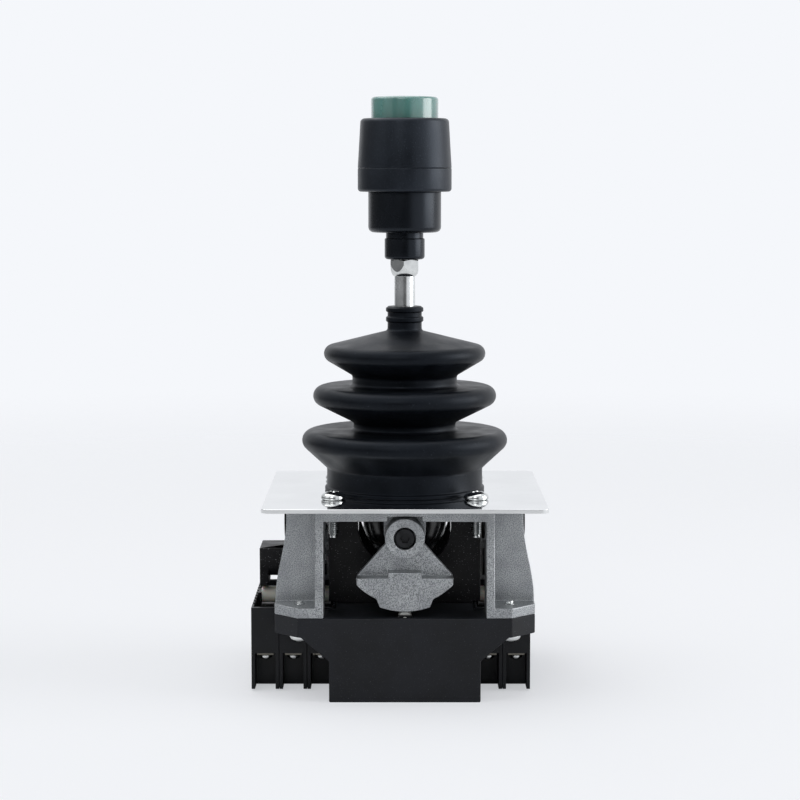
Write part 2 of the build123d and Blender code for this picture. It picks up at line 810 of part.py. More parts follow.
def side_cam(turn, poles, inner):
    """Cam block for one row of housings: a spine under the hub and one track for each pole."""
    last_track = housing_start + (poles - 0.5) * housing_pitch
    block_end = last_track + track_width
    with BuildPart() as cam:
        with BuildSketch(facing(turn, inner)):
            Circle(hub_radius)
        extrude(amount=hub_face - inner)
        with BuildSketch(facing(turn, cam_arm_start)):
            with BuildLine():
                cam_arm(side_cam_half_width, side_cam_top + leg_wall)
            make_face()
        extrude(amount=cam_arm_thickness)
        with BuildSketch(facing(turn, side_cam_inner)):
            with BuildLine():
                low = side_cam_body_radius
                arm_low = below(low, dwell_angle)
                Polyline(
                    arm_low,
                    (side_cam_half_width, arm_low[1] + leg_wall),
                    (side_cam_half_width, -side_cam_top),
                    (-side_cam_half_width, -side_cam_top),
                    (-side_cam_half_width, arm_low[1] + leg_wall),
                    (-arm_low[0], arm_low[1]),
                )
                ThreePointArc((-arm_low[0], arm_low[1]), (0, -low), arm_low)
            make_face()
        extrude(amount=block_end - side_cam_inner)
        for pole in range(poles):
            track = housing_start + (pole + 0.5) * housing_pitch
            with BuildSketch(facing(turn, track)):
                with BuildLine():
                    tip = below(side_cam_radius, dwell_angle)
                    Polyline(
                        tip,
                        (side_cam_half_width, -side_cam_top),
                        (-side_cam_half_width, -side_cam_top),
                        (-tip[0], tip[1]),
                    )
                    ThreePointArc((-tip[0], tip[1]), (0, -side_cam_radius), tip)
                make_face()
            extrude(amount=track_width)
        if turn == 3:
            with BuildSketch(facing(turn, side_cam_inner)):
                with Locations((0, -coil_leg - free_gap)):
                    Rectangle(
                        2 * side_cam_half_width,
                        dog_height + leg_wall,
                        align=(Align.CENTER, Align.MIN),
                    )
            extrude(amount=hub_start - side_cam_inner, mode=Mode.SUBTRACT)
            driving_dog(turn)
        bore_hub(turn, inner)
    return cam


left_cam = side_cam(3, left_poles, hub_start)
left_cam.part.label = "left_cam"
export_step(left_cam.part, "parts/left_cam.step")

right_cam = side_cam(1, right_poles, lug_face + free_gap)
right_cam.part.label = "right_cam"
export_step(right_cam.part, "parts/right_cam.step")


def return_spring(turn):
    """Closely wound torsion spring on a shaft, with two legs that grip the stop and the dog."""
    pitch = coil_wire * coil_nesting
    with BuildPart() as spring:
        axial = facing(turn, 0)
        with BuildSketch(Plane(origin=axial.origin, x_dir=axial.x_dir, z_dir=axial.y_dir)):
            for coil in range(coil_turns):
                with Locations((coil_radius, -(coil_start + coil_wire / 2 + coil * pitch))):
                    RegularPolygon(coil_wire / 2, 6)
        revolve(axis=Axis(axial.origin, axial.z_dir))
        for side, coil in ((1, 0), (-1, coil_turns - 1)):
            with BuildSketch(
                Plane(origin=axial.origin, x_dir=axial.x_dir, z_dir=axial.y_dir)
            ):
                with Locations(
                    (side * coil_radius, -(coil_start + coil_wire / 2 + coil * pitch))
                ):
                    RegularPolygon(coil_wire / 2, 6, rotation=quarter / 3)
            extrude(amount=-coil_leg)
    return spring


front_return_spring = return_spring(0)
front_return_spring.part.label = "front_return_spring"
export_step(front_return_spring.part, "parts/front_return_spring.step")

left_return_spring = return_spring(3)
left_return_spring.part.label = "left_return_spring"
export_step(left_return_spring.part, "parts/left_return_spring.step")

# Side yoke: a bent strap under the ball, slotted for the lever's tail
yoke_middle = yoke_inner + yoke_thickness / 2
yoke_outer = yoke_inner + yoke_thickness

with BuildPart() as side_yoke:
    with BuildSketch(facing(0, 0)):
        with BuildLine():
            FilletPolyline(
                (-yoke_middle, yoke_half_width),
                (-yoke_middle, -yoke_middle),
                (yoke_middle, -yoke_middle),
                (yoke_middle, yoke_half_width),
                radius=yoke_bend,
            )
        trace(line_width=yoke_thickness)
    extrude(amount=yoke_half_width, both=True)
    arm_tops = side_yoke.edges().filter_by(Axis.X).group_by(Axis.Z)[-1]
    fillet(arm_tops, yoke_half_width - seat_gap)
    with BuildSketch(facing(1, yoke_inner - free_gap)):
        Circle(shaft_radius + seat_gap)
    extrude(amount=yoke_thickness + 2 * free_gap, mode=Mode.SUBTRACT)
    with BuildSketch(facing(3, yoke_inner - free_gap)):
        Circle(shaft_radius + seat_gap)
    extrude(amount=yoke_thickness + 2 * free_gap, mode=Mode.SUBTRACT)
    with BuildSketch(Plane.XY.offset(pivot_z - yoke_outer)):
        with BuildLine():
            end_width = yoke_slot_half_width + yoke_slot_flare
            Polyline(
                (0, yoke_slot_half_width),
                (yoke_slot_half_length, end_width),
                (yoke_slot_half_length, -end_width),
                (0, -yoke_slot_half_width),
                (-yoke_slot_half_length, -end_width),
                (-yoke_slot_half_length, end_width),
                close=True,
            )
        make_face()
    extrude(amount=yoke_thickness, mode=Mode.SUBTRACT)
side_yoke.part.label = "side_yoke"
export_step(side_yoke.part, "parts/side_yoke.step")

left_shaft = cam_shaft(3, yoke_inner)
left_shaft.part.label = "left_shaft"
export_step(left_shaft.part, "parts/left_shaft.step")

right_shaft = cam_shaft(1, yoke_inner)
right_shaft.part.label = "right_shaft"
export_step(right_shaft.part, "parts/right_shaft.step")

# Lever: eye in the ball, tail below it, plain rod and a threaded end above
with BuildPart() as lever_rod:
    with BuildSketch(facing(1, 0)):
        Circle(eye_radius)
        Circle(cross_pin_diameter / 2 + running_gap, mode=Mode.SUBTRACT)
    extrude(amount=eye_width / 2, both=True)
    with BuildSketch(Plane.XY.offset(shoulder_z)):
        Circle(rod_diameter / 2)
    extrude(amount=-(rod_length - rod_root))
    with BuildSketch(Plane.XY.offset(shoulder_z)):
        Circle(thread_diameter / 2)
    extrude(amount=thread_length)
    with BuildSketch(Plane.XY.offset(pivot_z - tail_length)):
        Circle(tail_diameter / 2)
    extrude(amount=tail_length - tail_root)
    tips = lever_rod.edges().filter_by(GeomType.CIRCLE).group_by(Axis.Z)
    chamfer(tips[-1], free_gap)
    fillet(tips[0], fillet_radius)
lever_rod.part.label = "lever_rod"
export_step(lever_rod.part, "parts/lever_rod.step")

with BuildPart() as lever_nut:
    with BuildSketch(Plane.XY.offset(shoulder_z)):
        RegularPolygon(
            nut_across_flats / 2, 6, major_radius=False, rotation=quarter / 3 - nut_turn
        )
        Circle(thread_diameter / 2 + seat_gap, mode=Mode.SUBTRACT)
    extrude(amount=nut_height)
    with BuildSketch(Plane.XZ):
        with BuildLine():
            nut_corner = nut_across_flats / 2 / cos(radians(quarter / 3))
            seat_edge = (nut_seat_radius, shoulder_z)
            corner_edge = (nut_corner, shoulder_z + nut_dome_height)
            ThreePointArc(seat_edge, (nut_dome_radius, shoulder_z + nut_dome_rise), corner_edge)
            Polyline(
                corner_edge,
                (nut_corner, neck_bottom - nut_bevel),
                (nut_bevel_radius, neck_bottom),
                (0, neck_bottom),
                (0, shoulder_z),
                seat_edge,
            )
        make_face()
    revolve(axis=Axis.Z, mode=Mode.INTERSECT)
lever_nut.part.label = "lever_nut"
export_step(lever_nut.part, "parts/lever_nut.step")

# Handle
thread_bore = thread_diameter / 2 + seat_gap

with BuildPart() as handle_neck:
    with BuildSketch(Plane.XZ):
        with BuildLine():
            step_z = neck_bottom + neck_height
            Polyline(
                (thread_bore, neck_bottom),
                (neck_diameter / 2 - fillet_radius, neck_bottom),
                (neck_diameter / 2, neck_bottom + fillet_radius),
                (neck_diameter / 2, step_z),
                (neck_step_diameter / 2, step_z),
                (neck_step_diameter / 2, body_bottom),
                (thread_bore, body_bottom),
                close=True,
            )
        make_face()
    revolve(axis=Axis.Z)
handle_neck.part.label = "handle_neck"
export_step(handle_neck.part, "parts/handle_neck.step")

with BuildPart() as handle_body:
    with BuildSketch(Plane.XY.offset(body_bottom)):
        Circle(body_diameter / 2)
    extrude(amount=body_height)
    fillet(handle_body.edges().group_by(Axis.Z)[0], 2 * fillet_radius)
    with BuildSketch(Plane.XY.offset(body_bottom + thread_length / 2 - nut_height)):
        Circle(body_diameter / 2 - shell_wall)
    extrude(amount=body_height, mode=Mode.SUBTRACT)
    with BuildSketch(Plane.XY.offset(body_bottom)):
        Circle(thread_bore)
    extrude(amount=body_height, mode=Mode.SUBTRACT)
handle_body.part.label = "handle_body"
export_step(handle_body.part, "parts/handle_body.step")

spigot_radius = body_diameter / 2 - shell_wall - seat_gap
ring_inner = ring_diameter / 2 - shell_wall

with BuildPart() as grip_ring:
    with BuildSketch(Plane.XY.offset(ring_bottom)):
        Circle(ring_diameter / 2)
    extrude(amount=ring_height)
    chamfer(grip_ring.edges().group_by(Axis.Z)[0], fillet_radius)
    with BuildSketch(Plane.XY.offset(ring_bottom + shell_wall)):
        Circle(ring_inner)
    extrude(amount=ring_height, mode=Mode.SUBTRACT)
    with BuildSketch(Plane.XY.offset(ring_bottom)):
        Circle(spigot_radius)
    extrude(amount=-spigot_height)
    with BuildSketch(Plane.XY.offset(ring_bottom - spigot_height)):
        Circle(spigot_radius - shell_wall)
    extrude(amount=spigot_height, mode=Mode.SUBTRACT)
    with BuildSketch(Plane.XY.offset(ring_bottom)):
        Circle(thread_bore)
    extrude(amount=shell_wall, mode=Mode.SUBTRACT)
grip_ring.part.label = "grip_ring"
export_step(grip_ring.part, "parts/grip_ring.step")

with BuildPart() as grip_cap:
    with BuildSketch(Plane.XZ):
        with BuildLine():
            cap_outer = ring_diameter / 2
            cap_rim = cap_top_diameter / 2
            hole = button_diameter / 2 + slide_gap
            Polyline(
                (cap_outer, cap_bottom),
                (cap_rim, cap_top),
                (hole, cap_top),
                (hole, cap_top - shell_wall),
                (cap_rim - shell_wall, cap_top - shell_wall),
                (cap_outer - shell_wall, cap_bottom),
                close=True,
            )
        make_face()
        fillet(vertices().group_by(Axis.Y)[-1].sort_by(Axis.X)[-1], cap_fillet)
    revolve(axis=Axis.Z)
grip_cap.part.label = "grip_cap"
export_step(grip_cap.part, "parts/grip_cap.step")

with BuildPart() as push_button:
    with BuildSketch(Plane.XZ):
        with BuildLine():
            top_z = cap_top + button_rise
            under_z = button_seat - button_rim
            outer = button_diameter / 2
            roof_z = top_z - 2 * button_wall
            Polyline(
                (0, top_z),
                (outer, top_z),
                (outer, button_seat),
                (outer + button_flange, button_seat),
                (outer + button_flange, under_z),
                (outer - button_wall, under_z),
                (outer - button_wall, roof_z),
                (stem_diameter / 2, roof_z),
                (stem_diameter / 2, under_z - slide_gap),
                (0, under_z - slide_gap),
                close=True,
            )
        make_face()
        fillet(vertices().group_by(Axis.Y)[-1].sort_by(Axis.X)[-1], fillet_radius)
    revolve(axis=Axis.Z)
push_button.part.label = "push_button"
export_step(push_button.part, "parts/push_button.step")

switch_floor = ring_bottom + shell_wall
switch_pin_top = under_z - slide_gap - button_travel - slide_gap

with BuildPart() as button_switch:
    with BuildSketch(Plane.XY.offset(switch_floor)):
        Rectangle(switch_width, switch_width)
        chamfer(vertices(), fillet_radius)
    extrude(amount=switch_height)
    with BuildSketch(Plane.XY.offset(switch_floor + switch_height)):
        Circle(switch_pin_diameter / 2)
    extrude(amount=switch_pin_top - switch_floor - switch_height)
button_switch.part.label = "button_switch"
export_step(button_switch.part, "parts/button_switch.step")

spring_length = roof_z - switch_floor - spring_wire - 2 * slide_gap

with BuildPart() as button_spring:
    with BuildLine():
        coil_line = Helix(
            pitch=spring_length / spring_turns,
            height=spring_length,
            radius=spring_diameter / 2,
            center=(0, 0, switch_floor + spring_wire / 2 + slide_gap),
        )
    with BuildSketch(Plane(origin=coil_line @ 0, z_dir=coil_line % 0)):
        RegularPolygon(spring_wire / 2, 6)
    sweep()
button_spring.part.label = "button_spring"
export_step(button_spring.part, "parts/button_spring.step")

# Bellows: a rubber shell turned round the lever, with three lips on narrow waists


def rim_point(centre, radius, angle):
    """Point on the rounded edge of a lip, at an angle above level."""
    return (centre[0] + radius * cos(radians(angle)), centre[1] + radius * sin(radians(angle)))


def underside_angle(start, centre, radius):
    """Slope of the line that leaves a waist and just meets the rounded edge of a lip."""
    across = centre[0] - start[0]
    up = centre[1] - start[1]
    return degrees(atan2(up, across) - asin(radius / hypot(across, up)))


with BuildPart() as bellows:
    with BuildSketch(Plane.XZ):
        with BuildLine():
            groove = plate_hole_diameter / 2 - slide_gap
            bead_edge = collar_radius + collar_bead
            sleeve_top = plate_top + bellows_height
            bore = rod_diameter / 2 + running_gap
            root = (collar_radius, plate_top + collar_height)
            Polyline(
                (collar_inner_radius, frame_top - lip_sink),
                (collar_radius, frame_top - lip_sink),
                (collar_radius, frame_top),
                (groove, frame_top),
                (groove, plate_top),
                (bead_edge, plate_top),
                (bead_edge, plate_top + collar_bead_height),
                (collar_radius, plate_top + collar_bead_height + collar_bead_slope),
                root,
            )
            inside = [
                (collar_inner_radius, frame_top - lip_sink),
                (collar_inner_radius, plate_top + collar_bead_height),
            ]
            for index, (lip, rim, height) in enumerate(zip(lip_radii, lip_rims, lip_heights)):
                centre = (lip - rim, plate_top + height)
                is_last = index == len(lip_radii) - 1
                slope = underside_angle(root, centre, rim)
                low_angle = slope - quarter
                high_angle = quarter - roof_angle if is_last else quarter
                middle_angle = (low_angle + high_angle) / 2
                low = rim_point(centre, rim, low_angle)
                high = rim_point(centre, rim, high_angle)
                Line(root, low)
                ThreePointArc(low, rim_point(centre, rim, middle_angle), high)
                inner_rim = rim - bellows_wall
                inner_low = rim_point(centre, inner_rim, low_angle)
                inner_high = rim_point(centre, inner_rim, high_angle)
                inner_root = root[0] - bellows_wall
                inside += [
                    (inner_root, inner_low[1] - (inner_low[0] - inner_root) * tan(radians(slope))),
                    inner_low,
                    rim_point(centre, inner_rim, middle_angle),
                    inner_high,
                ]
                if not is_last:
                    root = (waist_radii[index], plate_top + waist_heights[index])
                    Polyline(high, (root[0], high[1]), root)
                    inside.append((root[0] - bellows_wall, inner_high[1]))
            rise = tan(radians(roof_angle))
            sleeve = [high, (sleeve_radius, high[1] + (high[0] - sleeve_radius) * rise)]
            for lower_edge, upper_edge in sleeve_beads:
                sleeve += [
                    (sleeve_radius, sleeve_top - lower_edge - bead_slope),
                    (bead_radius, sleeve_top - lower_edge),
                    (bead_radius, sleeve_top - upper_edge),
                    (sleeve_radius, sleeve_top - upper_edge + bead_slope),
                ]
            sleeve += [(sleeve_radius, sleeve_top), (bore, sleeve_top)]
            inside.append((bore, inner_high[1] + (inner_high[0] - bore) * rise))
            Polyline(*sleeve, *reversed(inside))
        make_face()
    revolve(axis=Axis.Z)
bellows.part.label = "bellows"
export_step(bellows.part, "parts/bellows.step")

# Front plunger with its roller and leaf spring, in the base


def leaf_spring(plane, length, rise, width):
    """Bowed strip: both ends on the floor, the crown under a plunger."""
    half = length / 2
    with BuildPart() as leaf:
        with BuildSketch(plane):
            with BuildLine():
                ThreePointArc((-half, 0), (0, rise), (half, 0))
                Line((half, 0), (half - leaf_thickness, 0))
                ThreePointArc(
                    (half - leaf_thickness, 0),
                    (0, rise - leaf_thickness),
                    (leaf_thickness - half, 0),
                )
                Line((leaf_thickness - half, 0), (-half, 0))
            make_face()
        extrude(amount=width / 2, both=True)
    return leaf


front_plunger_bottom = front_roller_z - front_plunger_height
fork_floor = front_roller_z - front_roller_diameter / 2 - free_gap

with BuildPart() as front_plunger:
    with BuildSketch(Plane.XY.offset(front_plunger_bottom)):
        with Locations((0, -front_cam_centre)):
            Rectangle(front_roller_diameter, front_plunger_y)
    extrude(amount=front_plunger_height + cheek_rise)
    with BuildSketch(Plane.XY.offset(fork_floor)):
        with Locations((0, -front_cam_centre)):
            Rectangle(2 * front_roller_diameter, front_roller_length + 2 * slide_gap)
    extrude(amount=front_plunger_height, mode=Mode.SUBTRACT)
    with BuildSketch(Plane.XZ.offset(front_cam_centre - front_plunger_y / 2)):
        with Locations((0, front_roller_z)):
            Circle(front_plunger_pin / 2 + running_gap)
    extrude(amount=front_plunger_y, mode=Mode.SUBTRACT)
front_plunger.part.label = "front_plunger"
export_step(front_plunger.part, "parts/front_plunger.step")

with BuildPart() as front_roller:
    with BuildSketch(Plane.XZ.offset(front_cam_centre - front_roller_length / 2)):
        with Locations((0, front_roller_z)):
            Circle(front_roller_diameter / 2)
    extrude(amount=front_roller_length)
    with BuildSketch(Plane.XZ.offset(front_cam_centre - front_plunger_y / 2)):
        with Locations((0, front_roller_z)):
            Circle(front_plunger_pin / 2)
    extrude(amount=front_plunger_y)
front_roller.part.label = "front_roller"
export_step(front_roller.part, "parts/front_roller.step")

front_leaf_rise = front_plunger_bottom - front_slot_floor
front_leaf = leaf_spring(
    Plane(origin=(0, -front_cam_centre, front_slot_floor), x_dir=(1, 0, 0), z_dir=(0, -1, 0)),
    front_leaf_length,
    front_leaf_rise,
    leaf_width,
)
front_leaf.part.label = "front_spring"
export_step(front_leaf.part, "parts/front_spring.step")

# Contact housings, plungers, rollers and springs, one set for each pole
trough_floor = housing_top - trough_depth
pocket_ceiling = housing_bottom + pocket_height
strip_bottom = pocket_ceiling - strip_thickness
plunger_bottom = side_roller_z - plunger_height
plunger_width = cavity_width - 2 * slide_gap
roller_length = plunger_width - 2 * cheek_thickness - 2 * slide_gap
chamber_half_length = housing_length / 2 - pocket_depth - chamber_end_wall
terminal_y = housing_length / 2 - pocket_depth / 2
strip_centre = housing_length / 2 - strip_length / 2 - housing_wall
pole_places = [-(housing_start + (pole + 0.5) * housing_pitch) for pole in range(left_poles)]
pole_places += [housing_start + (pole + 0.5) * housing_pitch for pole in range(right_poles)]


def contact_housing(x):
    """Moulded housing: open trough on top, guide and chamber below, a terminal pocket each end."""
    with BuildPart() as housing:
        with BuildSketch(Plane((x, 0, housing_bottom))):
            Rectangle(housing_width, housing_length)
        extrude(amount=housing_top - housing_bottom)
        with BuildSketch(Plane((x, 0, trough_floor))):
            Rectangle(cavity_width, housing_length - 2 * trough_end_wall)
        extrude(amount=trough_depth, mode=Mode.SUBTRACT)
        with BuildSketch(Plane((x, 0, housing_top - rim_notch_depth))):
            with GridLocations(housing_pitch, rim_notch_pitch, 1, rim_notches):
                Rectangle(housing_pitch, rim_notch_width)
        extrude(amount=rim_notch_depth, mode=Mode.SUBTRACT)
        with BuildSketch(Plane((x, 0, chamber_floor))):
            Rectangle(cavity_width, plunger_length + 2 * slide_gap)
        extrude(amount=trough_floor - chamber_floor, mode=Mode.SUBTRACT)
        with BuildSketch(Plane((x, 0, chamber_floor))):
            Rectangle(cavity_width, 2 * chamber_half_length)
        extrude(amount=pocket_ceiling - chamber_floor, mode=Mode.SUBTRACT)
        for side in (-1, 1):
            with BuildSketch(Plane((x, side * terminal_y, housing_bottom))):
                Rectangle(pocket_width, pocket_depth)
            extrude(amount=pocket_height, mode=Mode.SUBTRACT)
            with BuildSketch(Plane((x, side * strip_centre, strip_bottom))):
                Rectangle(strip_width, strip_length)
            extrude(amount=strip_thickness, mode=Mode.SUBTRACT)
            with BuildSketch(Plane((x, side * terminal_y, pocket_ceiling))):
                Circle(terminal_screw_diameter / 2 + seat_gap)
            extrude(amount=terminal_screw_length, mode=Mode.SUBTRACT)
    return housing


def contact_plunger(x):
    """Forked plunger that carries one roller."""
    with BuildPart() as plunger:
        with BuildSketch(Plane((x, 0, plunger_bottom))):
            Rectangle(plunger_width, plunger_length)
        extrude(amount=plunger_height + cheek_rise)
        with BuildSketch(Plane((x, 0, side_roller_z - roller_diameter / 2 - free_gap))):
            Rectangle(roller_length + 2 * slide_gap, 2 * plunger_length)
        extrude(amount=plunger_height, mode=Mode.SUBTRACT)
        with BuildSketch(Plane.YZ.offset(x - plunger_width / 2)):
            with Locations((0, side_roller_z)):
                Circle(roller_pin_diameter / 2 + running_gap)
        extrude(amount=plunger_width, mode=Mode.SUBTRACT)
    return plunger


def contact_roller(x):
    """Roller with its pin moulded in."""
    with BuildPart() as roller:
        with BuildSketch(Plane.YZ.offset(x - roller_length / 2)):
            with Locations((0, side_roller_z)):
                Circle(roller_diameter / 2)
        extrude(amount=roller_length)
        with BuildSketch(Plane.YZ.offset(x - plunger_width / 2)):
            with Locations((0, side_roller_z)):
                Circle(roller_pin_diameter / 2)
        extrude(amount=plunger_width)
    return roller


for number, x in enumerate(pole_places, start=1):
    housing = contact_housing(x)
    housing.part.label = f"contact_housing_{number}"
    export_step(housing.part, f"parts/contact_housing_{number}.step")
    plunger = contact_plunger(x)
    plunger.part.label = f"contact_plunger_{number}"
    export_step(plunger.part, f"parts/contact_plunger_{number}.step")
    roller = contact_roller(x)
    roller.part.label = f"contact_roller_{number}"
    export_step(roller.part, f"parts/contact_roller_{number}.step")
    leaf_plane = Plane(origin=(x, 0, chamber_floor), x_dir=(0, 1, 0), z_dir=(1, 0, 0))
    leaf = leaf_spring(leaf_plane, leaf_length, plunger_bottom - chamber_floor, leaf_width)
    leaf.part.label = f"contact_spring_{number}"
    export_step(leaf.part, f"parts/contact_spring_{number}.step")

terminal_places = [(x, side * terminal_y) for x in pole_places for side in (-1, 1)]

with BuildPart() as terminal_strips:
    for x in pole_places:
        for side in (-1, 1):
            with BuildSketch(Plane((x, side * strip_centre, strip_bottom))):
                Rectangle(strip_width, strip_length)
            extrude(amount=strip_thickness)
            with BuildSketch(Plane((x, side * terminal_y, strip_bottom))):
                Circle(terminal_screw_diameter / 2 + seat_gap)
            extrude(amount=strip_thickness, mode=Mode.SUBTRACT)
terminal_strips.part.label = "terminal_strips"
export_step(terminal_strips.part, "parts/terminal_strips.step")

terminal_screw = dome_screw(
    terminal_head_diameter, terminal_head_height, terminal_screw_diameter, terminal_screw_length
)
with BuildPart() as terminal_screws:
    with Locations(Location((0, 0, strip_bottom), upside_down)):
        with Locations(*terminal_places):
            add(terminal_screw)
terminal_screws.part.label = "terminal_screws"
export_step(terminal_screws.part, "parts/terminal_screws.step")
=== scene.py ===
# %% [markdown]
# # Dressing an industrial joystick
# The object is a two axis panel joystick: a lever with a push button in its knob stands on a
# gimbal, a rubber bellows keeps dirt out, and cams under the mounting plate press the rollers of
# small contact housings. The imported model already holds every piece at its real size. This
# lesson gives those pieces the surfaces that the real ones have.

import json
import math

import bmesh
import bpy
import numpy as np
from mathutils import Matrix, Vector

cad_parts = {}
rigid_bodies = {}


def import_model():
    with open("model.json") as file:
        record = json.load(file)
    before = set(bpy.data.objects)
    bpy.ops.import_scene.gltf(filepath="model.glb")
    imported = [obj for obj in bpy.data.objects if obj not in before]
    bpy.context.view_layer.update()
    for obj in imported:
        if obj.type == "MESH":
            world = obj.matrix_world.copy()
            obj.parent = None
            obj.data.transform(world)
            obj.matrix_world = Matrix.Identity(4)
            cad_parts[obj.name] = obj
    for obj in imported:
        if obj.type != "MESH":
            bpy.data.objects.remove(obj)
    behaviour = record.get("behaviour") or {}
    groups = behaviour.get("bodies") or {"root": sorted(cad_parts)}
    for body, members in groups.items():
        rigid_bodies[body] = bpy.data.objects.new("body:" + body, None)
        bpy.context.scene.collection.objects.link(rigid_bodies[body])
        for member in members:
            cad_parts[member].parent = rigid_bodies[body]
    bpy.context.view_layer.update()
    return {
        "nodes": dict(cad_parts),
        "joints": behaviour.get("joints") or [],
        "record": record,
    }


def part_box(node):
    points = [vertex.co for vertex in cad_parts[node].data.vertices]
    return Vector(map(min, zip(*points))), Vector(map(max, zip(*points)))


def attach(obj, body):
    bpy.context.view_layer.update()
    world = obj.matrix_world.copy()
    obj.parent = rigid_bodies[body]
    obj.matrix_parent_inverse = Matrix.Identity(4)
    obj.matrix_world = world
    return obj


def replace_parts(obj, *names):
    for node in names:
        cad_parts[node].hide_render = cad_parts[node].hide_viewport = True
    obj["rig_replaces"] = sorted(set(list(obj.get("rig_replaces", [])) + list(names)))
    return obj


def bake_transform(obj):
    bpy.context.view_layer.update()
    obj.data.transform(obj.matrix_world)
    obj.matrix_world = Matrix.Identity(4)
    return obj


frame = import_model()
record = frame["record"]

# %% [markdown]
# ## Units and places
# Blender works in metres and the object is easier to think of in millimetres, so shapes are
# worked out in millimetres and scaled once, when their mesh is made. Places come from the boxes
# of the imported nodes, which keeps every new surface on the piece that it dresses.

# %% Units and places
MM = 0.001


def box_mm(node):
    """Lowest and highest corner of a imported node, in millimetres."""
    low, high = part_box(node)
    return np.array(low) / MM, np.array(high) / MM


joint_of = {joint["name"]: joint for joint in frame["joints"]}
pivot_z = joint_of["lever_left_right"]["pos_m"][2] / MM
plate_top = box_mm("mounting_plate")[1][2]
print(f"pivot at {pivot_z:.1f} mm, plate top at {plate_top:.1f} mm")

# %% [markdown]
# ## Camera
# The object was seen from the front by a long lens a little above the plate. The bottom and top
# edges of the square plate give the height of the eye, and how much shorter the rear edge looks
# gives the distance. A long lens a good way off keeps upright edges nearly parallel.

# %% Camera
sensor_width = 36.0            # millimetres
camera_lens = 100.3            # millimetres
camera_place = (-1.7, -813.0, 185.8)
camera_pitch = 5.89            # degrees down

camera = bpy.data.objects.new("camera", bpy.data.cameras.new("camera"))
bpy.context.scene.collection.objects.link(camera)
camera.data.sensor_width = sensor_width
camera.data.lens = camera_lens
camera.location = [place * MM for place in camera_place]
camera.rotation_euler = (math.radians(90 - camera_pitch), 0, 0)
bpy.context.scene.camera = camera
print(f"camera {abs(camera_place[1]):.0f} mm in front of the lever")

# %% [markdown]
# ## Colours and nodes
# Colours are easiest to judge as the hex values that a picture editor shows, but a shader works
# with linear light, so one function turns one into the other. A second small function adds a
# node with its settings and links, which keeps each material readable as a list of its nodes.

# %% Colours and nodes


def linear(hex_colour):
    """Linear RGBA of an sRGB hex value: each channel is bent by the sRGB curve."""
    channels = np.array([int(hex_colour[i:i + 2], 16) for i in (1, 3, 5)]) / 255
    low, high = channels / 12.92, ((channels + 0.055) / 1.055) ** 2.4
    return (*np.where(channels <= 0.04045, low, high).tolist(), 1.0)


def add_node(tree, kind, inputs=None, **settings):
    """Add one node. Inputs are values, or sockets of other nodes to link from."""
    node = tree.nodes.new(kind)
    for name, value in settings.items():
        setattr(node, name, value)
    for name, value in (inputs or {}).items():
        if isinstance(value, bpy.types.NodeSocket):
            tree.links.new(value, node.inputs[name])
        else:
            node.inputs[name].default_value = value
    return node


def scale_for(size_mm):
    """Scale of a noise whose blobs are about this many millimetres wide."""
    return 1 / (size_mm * MM)


print("half way up in hex is", round(linear("#808080")[0], 3), "of the light")

# %% [markdown]
# ## Studio
# Catalogue pictures of such parts are taken on a white sweep between large soft lights. Here the
# sky does the sweep's work: straight to the eye it is one pale colour. A shiny surface sees a
# room instead, with that colour behind and overhead, a white softbox on the right, pale walls
# from a little above the horizon, and a dark front and a dim left below them. Without its dark
# parts chrome would look like white paint. The room is a few zones that fade in along one axis
# of the ray's direction.

# %% Zones of the mirrored room
sky_colour = "#f5f7fb"
room_left = 0.22               # how bright a mirror sees each part, from 0 to 1
room_front = 0.03
room_walls = 0.75
walls_front = 0.6              # share of the walls' brightness that is left round the camera
zones = {
    # the axis, where on it the fade starts and ends, and the brightness at its start and end
    "right": ("X", 0.22, 0.5, 0.0, 1.0),
    "left": ("X", -0.12, -0.4, room_front, room_left),
    "behind": ("Y", 0.5, 0.9, 0.0, 1.0),
    "overhead": ("Z", 0.35, 0.75, 0.0, 1.0),
    "walls": ("Z", 0.1, 0.2, 0.0, room_walls),
    "not_front": ("Y", -0.75, -0.4, walls_front, 1.0),
}

world = bpy.data.worlds.new("studio")
bpy.context.scene.world = world
world.use_nodes = True
sky = world.node_tree
sky.nodes.clear()
toward = add_node(sky, "ShaderNodeTexCoord").outputs["Generated"]
axes = add_node(sky, "ShaderNodeSeparateXYZ", {"Vector": toward})
level = {}
for zone, (axis, start, end, low, high) in zones.items():
    level[zone] = add_node(
        sky, "ShaderNodeMapRange",
        {"Value": axes.outputs[axis], "From Min": start, "From Max": end,
         "To Min": low, "To Max": high},
        interpolation_type="SMOOTHSTEP",
    ).outputs[0]
print("zones of the room:", ", ".join(level))

# %% [markdown]
# Where zones overlap, the brightest one is what a mirror sees. The walls are dimmed towards the
# camera first, because nobody stands a white wall behind the lens.

# %% Brightest zone
dimmed_walls = add_node(
    sky, "ShaderNodeMath", {0: level["walls"], 1: level["not_front"]}, operation="MULTIPLY"
)
brightest = dimmed_walls
for zone in ("right", "left", "behind", "overhead"):
    brightest = add_node(
        sky, "ShaderNodeMath", {0: brightest.outputs[0], 1: level[zone]}, operation="MAXIMUM"
    )
print("nodes of the sky so far:", len(sky.nodes))

# %% [markdown]
# A light path node tells the rays apart. The ones that only carry light to matt surfaces get an
# even, weak sky, so that the lamps do the modelling. Mirrors get the room. The eye, and what it
# sees through something clear, gets the plain pale colour.

# %% Sky for each kind of ray
ambient_strength = 0.34

